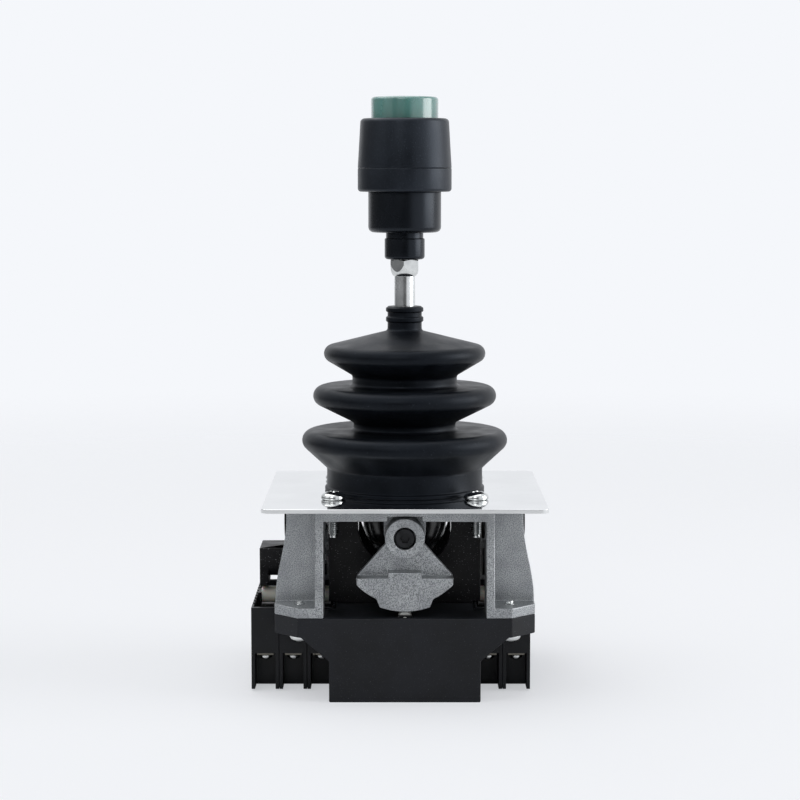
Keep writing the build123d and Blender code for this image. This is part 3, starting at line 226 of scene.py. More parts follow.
even = add_node(
    sky, "ShaderNodeBackground", {"Color": linear(sky_colour), "Strength": ambient_strength}
)
room = add_node(
    sky, "ShaderNodeBackground",
    {"Color": linear(sky_colour), "Strength": brightest.outputs[0]},
)
pale = add_node(sky, "ShaderNodeBackground", {"Color": linear(sky_colour), "Strength": 1.0})
ray = add_node(sky, "ShaderNodeLightPath")
chosen = even
for kind, background in (
    ("Is Glossy Ray", room), ("Is Transmission Ray", pale), ("Is Camera Ray", pale),
):
    chosen = add_node(
        sky, "ShaderNodeMixShader",
        {0: ray.outputs[kind], 1: chosen.outputs[0], 2: background.outputs[0]},
    )
add_node(sky, "ShaderNodeOutputWorld", {"Surface": chosen.outputs[0]})
print("nodes of the sky:", len(sky.nodes))

# %% [markdown]
# ## Lamps
# Four square softboxes stand round the object. The one on the right draws the bright streak down
# knob and rod, the large one overhead lights the plate and lays the short shadow, and two weak
# ones keep the left and the front from going black.

# %% Lamps
lamp_target = (0, 0, 0.1)      # metres, the middle of the object


def softbox(name, place, size, watts):
    """Square area light at a place in metres, aimed at the middle of the object.

    It is tilted by the angle between straight down and the aim, then turned to the aim's side.
    """
    lamp = bpy.data.lights.new(name, "AREA")
    lamp.shape = "SQUARE"
    lamp.size = size
    lamp.energy = watts
    holder = bpy.data.objects.new(name, lamp)
    bpy.context.scene.collection.objects.link(holder)
    aim = np.array(lamp_target) - np.array(place)
    tilt = math.acos(-aim[2] / np.linalg.norm(aim))
    holder.location = place
    holder.rotation_euler = (tilt, 0, math.atan2(-aim[0], aim[1]))
    print(f"{name}: {size} m square, {watts} W, {np.linalg.norm(aim):.2f} m away")


softbox("right_softbox", place=(1.15, -0.1, 0.42), size=0.8, watts=7.0)
softbox("top_softbox", place=(-0.3, 0.2, 1.25), size=1.5, watts=9.8)
softbox("left_fill", place=(-1.2, -0.7, 0.8), size=0.9, watts=1.5)
softbox("front_fill", place=(-0.35, -1.5, 0.9), size=0.7, watts=3.0)

# %% [markdown]
# ## Surfaces from grids
# Every new piece below is a grid of points: one index runs along a profile or a path, the other
# runs round it. The faces of such a grid always join the same neighbours, so one function makes
# them for every piece. Repeated ends of the grid, such as the poles of a knob, are welded.

# %% Faces of a grid


def grid_faces(rows, columns, closed_rows=False):
    """Quads of a grid that closes on itself round its columns: each point with its neighbours."""
    row = np.arange(rows if closed_rows else rows - 1)[:, None]
    column = np.arange(columns)[None, :]
    next_row, next_column = (row + 1) % rows, (column + 1) % columns
    corners = (
        row * columns + column,
        row * columns + next_column,
        next_row * columns + next_column,
        next_row * columns + column,
    )
    return np.stack(corners, axis=-1).reshape(-1, 4)


print("a grid of 3 by 4 has", len(grid_faces(3, 4)), "faces")

# %% Mesh from a grid
grid_weld = 1e-7               # metres between points that are one point
slot_of = {part["node"]: part["material_slot"] for part in record["subparts"]}
body_of = {node: body for body, nodes in record["behaviour"]["bodies"].items() for node in nodes}


def new_piece(name, points, faces, material, nodes=(), sharp=35):
    """Smooth welded mesh from points in millimetres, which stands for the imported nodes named.

    Edges that turn by more than the sharp angle, in degrees, stay sharp.
    """
    mesh = bpy.data.meshes.new(name)
    mesh.from_pydata((points.reshape(-1, 3) * MM).tolist(), [], faces.tolist())
    shape = bmesh.new()
    shape.from_mesh(mesh)
    bmesh.ops.remove_doubles(shape, verts=shape.verts, dist=grid_weld)
    volume = shape.calc_volume(signed=True) / MM**3
    shape.to_mesh(mesh)
    shape.free()
    mesh.shade_smooth()
    mesh.set_sharp_from_angle(angle=math.radians(sharp))
    mesh.materials.append(material)
    piece = bpy.data.objects.new(name, mesh)
    bpy.context.scene.collection.objects.link(piece)
    if nodes:
        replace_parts(piece, *nodes)
    print(f"{name}: {len(mesh.polygons)} faces, {volume:.0f} cubic mm")
    return piece


print("nodes with a body:", len(body_of), "of", len(slot_of))

# %% [markdown]
# ## Profiles
# Turned and moulded pieces are profiles carried round the lever. A mould never leaves a knife
# edge, so each corner of a profile is given its rounding: an arc takes the corner's place, and
# that thin arc is what catches the light along every rim.

# %% Rounded profiles
arc_step = math.radians(12)    # widest step along an arc


def rounded(corners, closed=False):
    """Profile of (radius, height, rounding) corners, each replaced by an arc.

    An arc touches both sides at rounding / tan(half the corner's angle) from the corner. Its
    centre is on the bisector, rounding / sin(half that angle) away.
    """
    points = []
    for index, (radius, height, rounding) in enumerate(corners):
        here = np.array([radius, height], float)
        if rounding == 0 or (not closed and index in (0, len(corners) - 1)):
            points.append(here)
            continue
        back = np.array(corners[index - 1][:2]) - here
        ahead = np.array(corners[(index + 1) % len(corners)][:2]) - here
        back, ahead = back / np.linalg.norm(back), ahead / np.linalg.norm(ahead)
        half = math.acos(back @ ahead) / 2
        middle = (back + ahead) / np.linalg.norm(back + ahead)
        centre = here + middle * rounding / math.sin(half)
        start = here + back * rounding / math.tan(half) - centre
        end = here + ahead * rounding / math.tan(half) - centre
        first = math.atan2(start[1], start[0])
        sweep = (math.atan2(end[1], end[0]) - first + math.pi) % (2 * math.pi) - math.pi
        steps = max(2, math.ceil(abs(sweep) / arc_step))
        turn = first + sweep * np.linspace(0, 1, steps + 1)
        points.extend(centre + rounding * np.stack([np.cos(turn), np.sin(turn)], axis=-1))
    return np.array(points)


corner_test = rounded([(0, 0, 0), (10, 0, 2), (10, 10, 0)])
print("a corner rounded by 2 mm starts", round(10 - corner_test[1][0], 3), "mm before it")

# %% Turned surfaces
turned_sides = 160


def resampled(profile, step):
    """The same profile with each straight cut into equal lengths no longer than the step."""
    pieces = [profile[:1]]
    for start, end in zip(profile[:-1], profile[1:]):
        count = max(1, math.ceil(np.linalg.norm(end - start) / step))
        pieces.append(start + (end - start) * (np.arange(1, count + 1) / count)[:, None])
    return np.concatenate(pieces)


def turned(profile, closed=True):
    """Surface of revolution: radius times cosine and sine of the turn, at the profile's height."""
    turn = np.linspace(0, 2 * math.pi, turned_sides, endpoint=False)
    radius, height = profile[:, :1], profile[:, 1:]
    points = [radius * np.cos(turn), radius * np.sin(turn), height + 0 * turn]
    return np.stack(points, axis=-1), grid_faces(len(profile), turned_sides, closed)


print("a turned corner has", len(turned(corner_test, closed=False)[1]), "faces")

# %% [markdown]
# ## Finishes
# Nearly every surface here is either moulded or metal, and both are believable for the same
# reason: colour and gloss drift a little across the piece, and a fine grain breaks up the
# highlights. One recipe makes them all from real sizes in millimetres.

# %% The recipe for a finish
colour_drift = (0.35, 0.65)    # heights of the broad noise that give the first and last colour
gloss_drift = (0.3, 0.7)       # and the first and last roughness
fleck_edge = 0.08              # height over which a fleck comes up to its full colour


def finish(name, colours, roughness, grain_mm, relief_mm, cloud_mm=14.0, stretch=None,
           flecks=None, plain=None):
    """Material with a drifting colour and gloss and a grain in relief.

    A broad noise picks a place between the two colours and between the two roughnesses. A fine
    noise, drawn out along an axis if stretch says so, is the height of the grain. Flecks are a
    third colour, the size of a fleck in millimetres, and the height of their own noise, from 0
    to 1, above which they show. Plain holds values that are the same all over. A Mix node for
    colours takes its factor at 0 and its colours at 6 and 7, and gives the mixture at 2.
    """
    material = bpy.data.materials.new(name)
    material.use_nodes = True
    tree = material.node_tree
    tree.nodes.clear()
    place = add_node(tree, "ShaderNodeTexCoord").outputs["Object"]
    lain = place
    if stretch:
        lain = add_node(tree, "ShaderNodeMapping", {"Vector": place, "Scale": stretch}).outputs[0]
    cloud = add_node(
        tree, "ShaderNodeTexNoise", {"Vector": place, "Scale": scale_for(cloud_mm), "Detail": 4.0}
    )
    grain = add_node(
        tree, "ShaderNodeTexNoise", {"Vector": lain, "Scale": scale_for(grain_mm), "Detail": 2.0}
    )
    drift = add_node(
        tree, "ShaderNodeMapRange",
        {"Value": cloud.outputs[0], "From Min": colour_drift[0], "From Max": colour_drift[1]},
    )
    tint = add_node(
        tree, "ShaderNodeMix",
        {0: drift.outputs[0], 6: linear(colours[0]), 7: linear(colours[1])}, data_type="RGBA",
    )
    if flecks:
        fleck_colour, fleck_mm, threshold = flecks
        specks = add_node(
            tree, "ShaderNodeTexNoise",
            {"Vector": place, "Scale": scale_for(fleck_mm), "Detail": 1.0},
        )
        shown = add_node(
            tree, "ShaderNodeMapRange",
            {"Value": specks.outputs[0], "From Min": threshold,
             "From Max": threshold + fleck_edge},
        )
        tint = add_node(
            tree, "ShaderNodeMix",
            {0: shown.outputs[0], 6: tint.outputs[2], 7: linear(fleck_colour)}, data_type="RGBA",
        )
    gloss = add_node(
        tree, "ShaderNodeMapRange",
        {"Value": cloud.outputs[0], "From Min": gloss_drift[0], "From Max": gloss_drift[1],
         "To Min": roughness[0], "To Max": roughness[1]},
    )
    relief = add_node(
        tree, "ShaderNodeBump", {"Height": grain.outputs[0], "Distance": relief_mm * MM}
    )
    surface = {
        "Base Color": tint.outputs[2], "Roughness": gloss.outputs[0], "Normal": relief.outputs[0],
    }
    surface.update(plain or {})
    shader = add_node(tree, "ShaderNodeBsdfPrincipled", surface)
    add_node(tree, "ShaderNodeOutputMaterial", {"Surface": shader.outputs[0]})
    print(f"{name}: {len(tree.nodes)} nodes")
    return material


print(f"a grain of 0.5 mm is a noise of scale {scale_for(0.5):.0f}")

# %% [markdown]
# ## Plastics and rubber
# The black parts are not one black. What tells them apart is how they were moulded: the sparked
# tool of the base leaves it matt, a polished tool leaves the handle glossy, and rubber stays
# satin. So each gets its own colours, gloss and grain.

# %% Black mouldings
# Glass filled nylon of the base: moulded in a spark eroded tool, an even matt grain that shows a
# few paler glass ends.
moulded_base = finish(
    "moulded nylon base", ("#111317", "#191b20"), (0.46, 0.6), grain_mm=0.35, relief_mm=0.02,
    flecks=("#3a3b3f", 0.4, 0.66), plain={"Specular IOR Level": 0.26},
)
# The contact housings come from a smoother tool, so they keep a dull sheen.
moulded_housing = finish(
    "moulded housing", ("#0d0f12", "#15171b"), (0.34, 0.48), grain_mm=0.35, relief_mm=0.012,
    flecks=("#282b2f", 0.5, 0.7), plain={"Specular IOR Level": 0.24},
)
# Black acetal of the shroud, cams and plungers: smooth but scuffed, with specks of dust.
black_acetal = finish(
    "black acetal", ("#08080a", "#101013"), (0.34, 0.52), grain_mm=0.5, relief_mm=0.012,
    cloud_mm=6.0, flecks=("#7d7f82", 0.45, 0.68), plain={"Specular IOR Level": 0.24},
)
# The gimbal ball is moulded with a polished tool, because it has to slide.
polished_ball = finish(
    "polished black ball", ("#0a0a0c", "#111113"), (0.14, 0.24), grain_mm=1.2, relief_mm=0.004
)

# %% Rubber and knob
# Carbon black sends a little more blue back than red, so the sheen of these parts looks cool.
cool_sheen = linear("#d3e0f2")
# Nitrile rubber of the bellows: dusted from its mould, satin and never quite even.
nitrile_rubber = finish(
    "nitrile rubber", ("#07090d", "#0f1217"), (0.33, 0.47), grain_mm=0.55, relief_mm=0.03,
    cloud_mm=8.0, flecks=("#2b2e34", 0.6, 0.7),
    plain={"Specular IOR Level": 0.19, "Specular Tint": cool_sheen},
)
# The knob's shells have the fine leather grain that hides finger marks.
grained_grip = finish(
    "grained grip", ("#0b0e13", "#13171d"), (0.32, 0.44), grain_mm=0.4, relief_mm=0.03,
    flecks=("#252a31", 0.4, 0.64), plain={"Specular IOR Level": 0.42, "Specular Tint": cool_sheen},
)
# The handle tube is the same plastic from a polished tool.
gloss_handle = finish(
    "gloss handle", ("#07090c", "#0b0d11"), (0.24, 0.32), grain_mm=1.6, relief_mm=0.008,
    plain={"Specular IOR Level": 0.36, "Specular Tint": cool_sheen},
)
# Green signal button: a clear gloss coat over a dull green, a little light gets into it.
green_button = finish(
    "green button", ("#457a72", "#508880"), (0.2, 0.3), grain_mm=1.2, relief_mm=0.006,
    plain={"Subsurface Weight": 0.08, "Subsurface Scale": 0.002, "Coat Weight": 1.0,
           "Coat Roughness": 0.1, "Specular IOR Level": 0.9},
)

# %% Roller plastics
# Natural nylon of the side rollers: cream, waxy, slightly see-through at its edges.
natural_nylon = finish(
    "natural nylon", ("#ebe7d6", "#f4f1e5"), (0.3, 0.42), grain_mm=0.6, relief_mm=0.01,
    plain={"Subsurface Weight": 0.2, "Subsurface Scale": 0.001},
)
# Grey acetal of the front roller.
grey_acetal = finish(
    "grey acetal", ("#c9cac6", "#dadbd7"), (0.32, 0.42), grain_mm=0.6, relief_mm=0.01
)

# %% [markdown]
# ## Metals
# A metal is its reflection, so its gloss and the direction of its grain say how it was worked:
# blasted castings scatter, buffed sheet mirrors, and a turned rod draws its highlights out
# across its rings. The stretch of the grain does that: a small number draws it out along an
# axis.

# %% Bright metals
pure_metal = {"Metallic": 1.0}
# Die cast aluminium, blasted with coarse grit: matt, and peppered all over with dark pits. The
# pits are drawn at 0.3 mm, a little coarser than real ones, so that they show.
cast_aluminium = finish(
    "cast aluminium", ("#a3a6a9", "#bcbfc1"), (0.36, 0.48), grain_mm=0.35, relief_mm=0.08,
    cloud_mm=8.0, flecks=("#7b7e80", 0.3, 0.48), plain={"Metallic": 0.85},
)
# Stainless sheet, rolled and then buffed to a mirror along its length.
mirror_sheet = finish(
    "mirror steel sheet", ("#dcdddd", "#e6e7e7"), (0.03, 0.07), grain_mm=0.5, relief_mm=0.0006,
    cloud_mm=30.0, stretch=(0.04, 1, 1), plain=pure_metal,
)
# Zinc plated screws, bright and a little milky.
zinc_plate = finish(
    "bright zinc plate", ("#c9cbcb", "#d9dbda"), (0.07, 0.14), grain_mm=0.6, relief_mm=0.003,
    cloud_mm=3.0, plain=pure_metal,
)
# Bar steel turned on a lathe and chromed: hair fine rings round the rod.
turned_steel = finish(
    "turned steel", ("#d2d4d4", "#dee0e0"), (0.2, 0.28), grain_mm=0.25, relief_mm=0.004,
    cloud_mm=8.0, stretch=(0.03, 0.03, 1), plain=pure_metal,
)

# %% Darker metals
# Black oxide on steel: a dark skin that stays metallic underneath.
black_oxide = finish(
    "black oxide", ("#1d1e20", "#2a2b2d"), (0.26, 0.4), grain_mm=0.3, relief_mm=0.006,
    cloud_mm=2.0, plain={"Metallic": 0.7},
)
# Drawn spring wire.
spring_wire = finish(
    "drawn spring wire", ("#8d9092", "#a3a6a8"), (0.22, 0.34), grain_mm=0.3, relief_mm=0.005,
    cloud_mm=4.0, plain=pure_metal,
)
# Oiled bronze bushes.
oiled_bronze = finish(
    "oiled bronze", ("#8a6a3a", "#a08048"), (0.3, 0.45), grain_mm=0.2, relief_mm=0.01,
    cloud_mm=3.0, plain=pure_metal,
)
# Brass strip of the contact springs, bare so that it takes the solder.
rolled_brass = finish(
    "rolled brass", ("#a88d50", "#bda262"), (0.22, 0.36), grain_mm=0.3, relief_mm=0.004,
    cloud_mm=5.0, stretch=(0.06, 1, 1), plain=pure_metal,
)
# The terminal strips are nickel plated against tarnish and show rolling lines. Their warm grey is
# much darker than nickel: painted shade, for the shade that they sit in.
shade_darkened_nickel = finish(
    "nickel plated strip", ("#5c5a54", "#6f6c65"), (0.26, 0.4), grain_mm=0.3, relief_mm=0.005,
    cloud_mm=4.0, stretch=(0.06, 1, 1), flecks=("#3d3b36", 0.6, 0.62), plain=pure_metal,
)

# %% One finish for each slot of the record
material_of = {
    "base_plastic": moulded_base,
    "housing_plastic": moulded_housing,
    "die_cast": cast_aluminium,
    "mirror_steel": mirror_sheet,
    "chrome_screw": zinc_plate,
    "bright_steel": turned_steel,
    "black_oxide": black_oxide,
    "bellows_rubber": nitrile_rubber,
    "shroud_plastic": black_acetal,
    "ball_plastic": polished_ball,
    "grip_plastic": grained_grip,
    "handle_gloss": gloss_handle,
    "green_plastic": green_button,
    "cream_nylon": natural_nylon,
    "grey_roller": grey_acetal,
    "bronze": oiled_bronze,
    "brass_strip": rolled_brass,
    # the terminal strips' finish is darkened as painted shade
    "plated_strip": shade_darkened_nickel,
    "spring_steel": spring_wire,
}
missing = set(slot_of.values()) - set(material_of)
print("slots without a finish:", sorted(missing))

# %% [markdown]
# ## Floor
# The floor only has to hold the shadow. It is white paper lit by the lamps, with a share of the
# sky's own colour added for the eye, as the sweep of a studio glows from the light round it. Its
# rim is see-through, so from every side it melts into the sky and no horizon shows.

# %% Paper of the floor
floor_pale = "#fafbfd"
floor_fade = (0.3, 1.1)        # metres from the middle, where the fade starts and ends
floor_glow = 0.5               # share of the sky's own colour that the eye sees in the paper

floor_finish = bpy.data.materials.new("studio floor")
floor_finish.use_nodes = True
tree = floor_finish.node_tree
tree.nodes.clear()
spot = add_node(tree, "ShaderNodeTexCoord").outputs["Object"]
away = add_node(tree, "ShaderNodeVectorMath", {0: spot}, operation="LENGTH")
fade = add_node(
    tree, "ShaderNodeMapRange",
    {"Value": away.outputs["Value"], "From Min": floor_fade[0], "From Max": floor_fade[1]},
    interpolation_type="SMOOTHSTEP",
)
paper = add_node(tree, "ShaderNodeBsdfDiffuse", {"Color": linear(floor_pale)})
clear = add_node(tree, "ShaderNodeBsdfTransparent")
glow = add_node(tree, "ShaderNodeEmission", {"Color": linear(sky_colour), "Strength": 1.0})
to_eye = add_node(
    tree, "ShaderNodeMath",
    {0: add_node(tree, "ShaderNodeLightPath").outputs["Is Camera Ray"], 1: floor_glow},
    operation="MULTIPLY",
)
lit = add_node(
    tree, "ShaderNodeMixShader", {0: to_eye.outputs[0], 1: paper.outputs[0], 2: glow.outputs[0]}
)
melted = add_node(
    tree, "ShaderNodeMixShader", {0: fade.outputs[0], 1: lit.outputs[0], 2: clear.outputs[0]}
)
add_node(tree, "ShaderNodeOutputMaterial", {"Surface": melted.outputs[0]})
print("nodes of the floor:", len(tree.nodes))

# %% Floor disc
floor_radius = 1600.0          # millimetres
floor_rings = 24
floor_sides = 64

# Each point is its ring's radius times the cosine and sine of its angle. The faces are turned
# over, so that they look up.
ring_radii = np.linspace(0, floor_radius, floor_rings)[:, None]
ring_angles = np.linspace(0, 2 * math.pi, floor_sides, endpoint=False)
floor_points = np.stack([
    ring_radii * np.cos(ring_angles),
    ring_radii * np.sin(ring_angles),
    np.zeros((floor_rings, floor_sides)),
], axis=-1)
floor = new_piece(
    "floor", floor_points, grid_faces(floor_rings, floor_sides)[:, ::-1], floor_finish
)

# %% [markdown]
# ## Bellows
# The bellows is a moulded rubber shell: a collar that snaps into the plate, three lips with
# rounded edges on narrow waists, and a sleeve with two beads that grips the rod. One profile
# gives all of it. It crosses both tilting joints and is made as two shells that meet on the cone
# under the middle lip.
# Heights are above the plate's top.

# %% Measures of the bellows
collar_radius = 28.5
collar_height = 8.3            # where the cone under the first lip starts
rubber_wall = 1.4
lips = (
    # radius and height of the middle of the rounded edge, and its own radius
    (33.9, 18.4, 3.7),
    (29.9, 34.7, 3.6),
    (26.3, 50.2, 3.2),
)
waists = ((18.7, 25.0), (19.15, 42.2))     # radius, and height of the upper end
roof_slope = math.radians(14.2)
cone_rounding = 1.5
waist_rounding, inner_rounding = 1.4, 1.2
lip_points = 15
print("lips", [round(2 * (lip[0] + lip[2]), 1) for lip in lips], "mm across")

# %% One side of the bellows


def lip_arc(start, lip, shrink, roof):
    """Arc of a lip's edge, from where a line from the start just meets it, up to its roof.

    The line's slope is the slope towards the arc's middle less the angle that the arc fills.
    """
    radius, height, rim = lip
    across, up = radius - start[0], height - start[1]
    slope = math.atan2(up, across) - math.asin(rim / math.hypot(across, up))
    turn = np.linspace(slope - math.pi / 2, math.pi / 2 - roof, lip_points)
    arc = np.stack([np.cos(turn), np.sin(turn)], axis=-1) * (rim - shrink) + [radius, height]
    return arc, slope


def bellows_side(shrink):
    """Corners of one side of the shell above its collar: outside with no shrink, or inside."""
    start = np.array([collar_radius, collar_height])
    corners = [(start[0] - shrink, start[1], cone_rounding)]
    rounding = inner_rounding if shrink else waist_rounding
    for lip, waist in zip(lips, (*waists, None)):
        arc, slope = lip_arc(start, lip, shrink, 0 if waist else roof_slope)
        if shrink:
            foot = start[0] - shrink
            rise = arc[0][1] - (arc[0][0] - foot) * math.tan(slope)
            corners[-1] = (foot, rise, corners[-1][2])
        corners += [(radius, height, 0) for radius, height in arc]
        if waist:
            corners += [(waist[0] - shrink, height, rounding) for height in (arc[-1][1], waist[1])]
            start = np.array(waist)
    return corners


outer_side, inner_side = bellows_side(0), bellows_side(rubber_wall)
print("outer side has", len(outer_side), "corners, inner side", len(inner_side))

# %% Collar of the bellows
collar_bore = 24.0
collar_foot = -3.0
plug_radius = 28.45            # the part that is pushed through the plate's hole
groove_radius = 26.75          # the plate's edge sits in this groove
groove_low, groove_high = -1.55, 0.02
flange_radius = 29.25          # the part that rests on the plate

collar = [
    (collar_bore, collar_foot, 0.3),
    (plug_radius, collar_foot, 0.4),
    (plug_radius, groove_low, 0.3),
    (groove_radius, groove_low, 0.2),
    (groove_radius, groove_high, 0.2),
    (flange_radius, groove_high, 0.3),
    (flange_radius, 1.25, 0.5),
    (collar_radius, 1.75, 0.5),
]
print("groove", round(groove_high - groove_low, 2), "mm wide")

# %% Sleeve of the bellows
sleeve_radius = 6.25
sleeve_top = 67.4
bead_radius = 6.85
beads = ((5.4, 4.0), (1.8, 0.6))       # how far below the top each one starts and ends
bead_flank = 0.4
bore_radius = box_mm("lever_rod")[1][0] + 0.05


def roof_height(side, radius):
    """Height of the roof over a radius, along its slope from the last corner of the side."""
    return side[-1][1] + (side[-1][0] - radius) * math.tan(roof_slope)


sleeve = [(sleeve_radius, roof_height(outer_side, sleeve_radius), 1.2)]
for bead_low, bead_high in beads:
    sleeve += [
        (sleeve_radius, sleeve_top - bead_low - bead_flank, 0.2),
        (bead_radius, sleeve_top - bead_low, 0.35),
        (bead_radius, sleeve_top - bead_high, 0.35),
        (sleeve_radius, sleeve_top - bead_high + bead_flank, 0.2),
    ]
sleeve += [(sleeve_radius - 0.2, sleeve_top, 0.2), (bore_radius, sleeve_top, 0.2)]
bore = [(bore_radius, roof_height(inner_side, bore_radius), 0.5), (bore_radius, sleeve_top, 0)]
print(f"sleeve {sleeve_top - sleeve[0][1]:.1f} mm long round a bore of {bore_radius:.2f} mm")

# %% [markdown]
# The two shells meet on one ring. Each side of the wall gets a point at the seam's height, and
# both shells use it, so no gap opens between them. Long straights are cut into short rows of
# points.

# %% Two shells
seam_height = 28.5
row_step = 0.8                 # longest straight between two rows
inner_foot = [(collar_bore, collar_foot, 0), (collar_bore, 1.5, 1.0)]
outside = resampled(rounded(collar + outer_side + sleeve), row_step)
inside = resampled(rounded(inner_foot + inner_side + bore), row_step)


def seam_on(side):
    """Where the cone under the middle lip passes the seam: the next index, and the point there.

    The point is on the straight between two points of the profile, at the share of its rise
    that is below the seam.
    """
    after_waist = np.nonzero(side[:, 1] > waists[0][1])[0][0]
    index = after_waist + np.nonzero(side[after_waist:, 1] > seam_height)[0][0]
    low, high = side[index - 1], side[index]
    share = (seam_height - low[1]) / (high[1] - low[1])
    return index, (low + share * (high - low))[None]


cut_out, seam_out = seam_on(outside)
cut_in, seam_in = seam_on(inside)
lower_shell = np.concatenate([outside[:cut_out], seam_out, seam_in, inside[:cut_in][::-1]])
upper_shell = np.concatenate([seam_out, outside[cut_out:], inside[cut_in:][::-1], seam_in])
print("rows of the shells:", len(lower_shell), "and", len(upper_shell))

# %% Bellows pieces
upper_bend_end = 58.0          # height that the loop below lists for the upper shell

for name, shell, bodies, heights in (
    ("bellows_lower", lower_shell, ("root", "gimbal"), (0.0, seam_height)),
    ("bellows_upper", upper_shell, ("gimbal", "lever"), (seam_height, upper_bend_end)),
):
    piece = new_piece(name, *turned(shell + [0, plate_top]), nitrile_rubber, ("bellows",))
    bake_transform(piece)

# %% [markdown]
# ## Handle
# The knob is two shells with a seam between them, the handle under it is a glossy tube and the
# neck is a stepped sleeve. Each is one closed profile, so that the parting lines between them
# are real gaps between two rounded rims, and not drawn lines.

# %% Measures of the handle
cap_low, cap_high = box_mm("grip_cap")
ring_low, ring_high = box_mm("grip_ring")
tube_low, tube_high = box_mm("handle_body")
neck_low, neck_high = box_mm("handle_neck")
cap_top_radius = 16.0
button_radius = 12.2
button_play = 0.2              # between the button and the cap's rim
shell_wall = 2.0
parting_gap = 0.02
thread_bore = 3.02
ring_floor = ring_low[2] + 4   # where the ring widens over the tube
tube_floor = tube_low[2] + 5
neck_step_radius = 6.8
neck_step = neck_high[2] - 2.2
spigot_radius = tube_high[0] - shell_wall - parting_gap        # the ring's end inside the tube
print(f"handle from {neck_low[2]:.1f} to {cap_high[2]:.1f} mm")

# %% Handle profiles
hole_radius = button_radius + button_play
ring_wall = ring_high[0] - shell_wall
tube_wall = tube_high[0] - shell_wall
handle_profiles = {
    "grip_cap": [
        (cap_high[0] - shell_wall, cap_low[2], 0.2),
        (cap_high[0], cap_low[2], 0.3),
        (cap_top_radius, cap_high[2], 1.5),
        (hole_radius, cap_high[2], 0.35),
        (hole_radius, cap_high[2] - shell_wall, 0.2),
        (cap_top_radius - shell_wall, cap_high[2] - shell_wall, 0.5),
    ],
    "grip_ring": [
        (spigot_radius, ring_floor, 0.1),
        (ring_high[0], ring_floor, 1.2),
        (ring_high[0], ring_high[2] - parting_gap, 0.3),
        (ring_wall, ring_high[2] - parting_gap, 0.2),
        (ring_wall, ring_floor + shell_wall, 0.5),
        (thread_bore, ring_floor + shell_wall, 0.2),
        (thread_bore, ring_low[2], 0.2),
        (spigot_radius, ring_low[2], 0.1),
    ],
    "handle_body": [
        (thread_bore, tube_low[2], 0.3),
        (tube_high[0], tube_low[2], 2.0),
        (tube_high[0], tube_high[2] - parting_gap, 0.25),
        (tube_wall, tube_high[2] - parting_gap, 0.2),
        (tube_wall, tube_floor, 0.5),
        (thread_bore, tube_floor, 0.3),
    ],
    "handle_neck": [
        (thread_bore, neck_low[2], 0.3),
        (neck_high[0], neck_low[2], 1.2),
        (neck_high[0], neck_step, 0.35),
        (neck_step_radius, neck_step, 0.15),
        (neck_step_radius, neck_high[2], 0.15),
        (thread_bore, neck_high[2], 0.3),
    ],
}
for node, corners in handle_profiles.items():
    piece = new_piece(
        node + "_shell", *turned(rounded(corners, closed=True)), material_of[slot_of[node]],
        (node,),
    )
    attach(piece, body_of[node])

# %% [markdown]
# ## Push button
# The button is an inverted cup with a rim that stops it under the cap. Its top is crowned by a
# few tenths of a millimetre, as moulded buttons are, so that it holds one soft highlight and not
# a flat glare.

# %% Push button
button_low, button_high = box_mm("push_button")
button_top = button_high[2]
button_wall = 1.8
stem_radius = 2.5
edge_width = 1.2               # from the button's side to where its crown starts
crown_drop = 0.35              # how far the button's edge lies below its middle
crown_share = 0.9              # share of the way to the edge that the crown's curve takes up
crown_start_drop = 0.28
rim_top = cap_high[2] - shell_wall - 0.2
cup_roof = rim_top + 3
inner_radius = button_radius - button_wall

inward = np.linspace(1, 0, 12)[1:, None]
crown = np.concatenate(
    [inward * (button_radius - edge_width), button_top - crown_drop * (inward * crown_share) ** 2],
    axis=1,
)
cup = rounded([
    (0, button_low[2], 0),
    (stem_radius, button_low[2], 0.3),
    (stem_radius, cup_roof, 0.3),
    (inner_radius, cup_roof, 0.3),
    (inner_radius, rim_top - button_wall, 0.2),
    (button_high[0], rim_top - button_wall, 0.2),
    (button_high[0], rim_top, 0.2),
    (button_radius, rim_top, 0.2),
    (button_radius, button_top - crown_drop, 1.1),
    (button_radius - edge_width, button_top - crown_start_drop, 0),
])
piece = new_piece(
    "button_shell", *turned(np.concatenate([cup, crown]), closed=False), green_button,
    ("push_button",),
)
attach(piece, body_of["push_button"])

# %% [markdown]
# ## Lock nut
# The nut is a hexagon cut by a surface of revolution: a dome below and a bevel above. At every
# turn and height its radius is the smaller of the two, which draws the curved edges where dome
# and flats meet without modelling them.

# %% Nut
nut_low, nut_high = box_mm("lever_nut")
half_flats = 5.0
corner_radius = half_flats / math.cos(math.pi / 6)
nut_turn = math.radians(-93.0)         # a corner stands just left of the front
nut_sides = 240
dome_height = 4.1
dome_foot = 4.1                # radius at its lower end
dome_bend = 0.62               # power of the height that the dome's radius grows with
bevel_height = 0.6
bevel_top = 4.9                # radius at its upper end

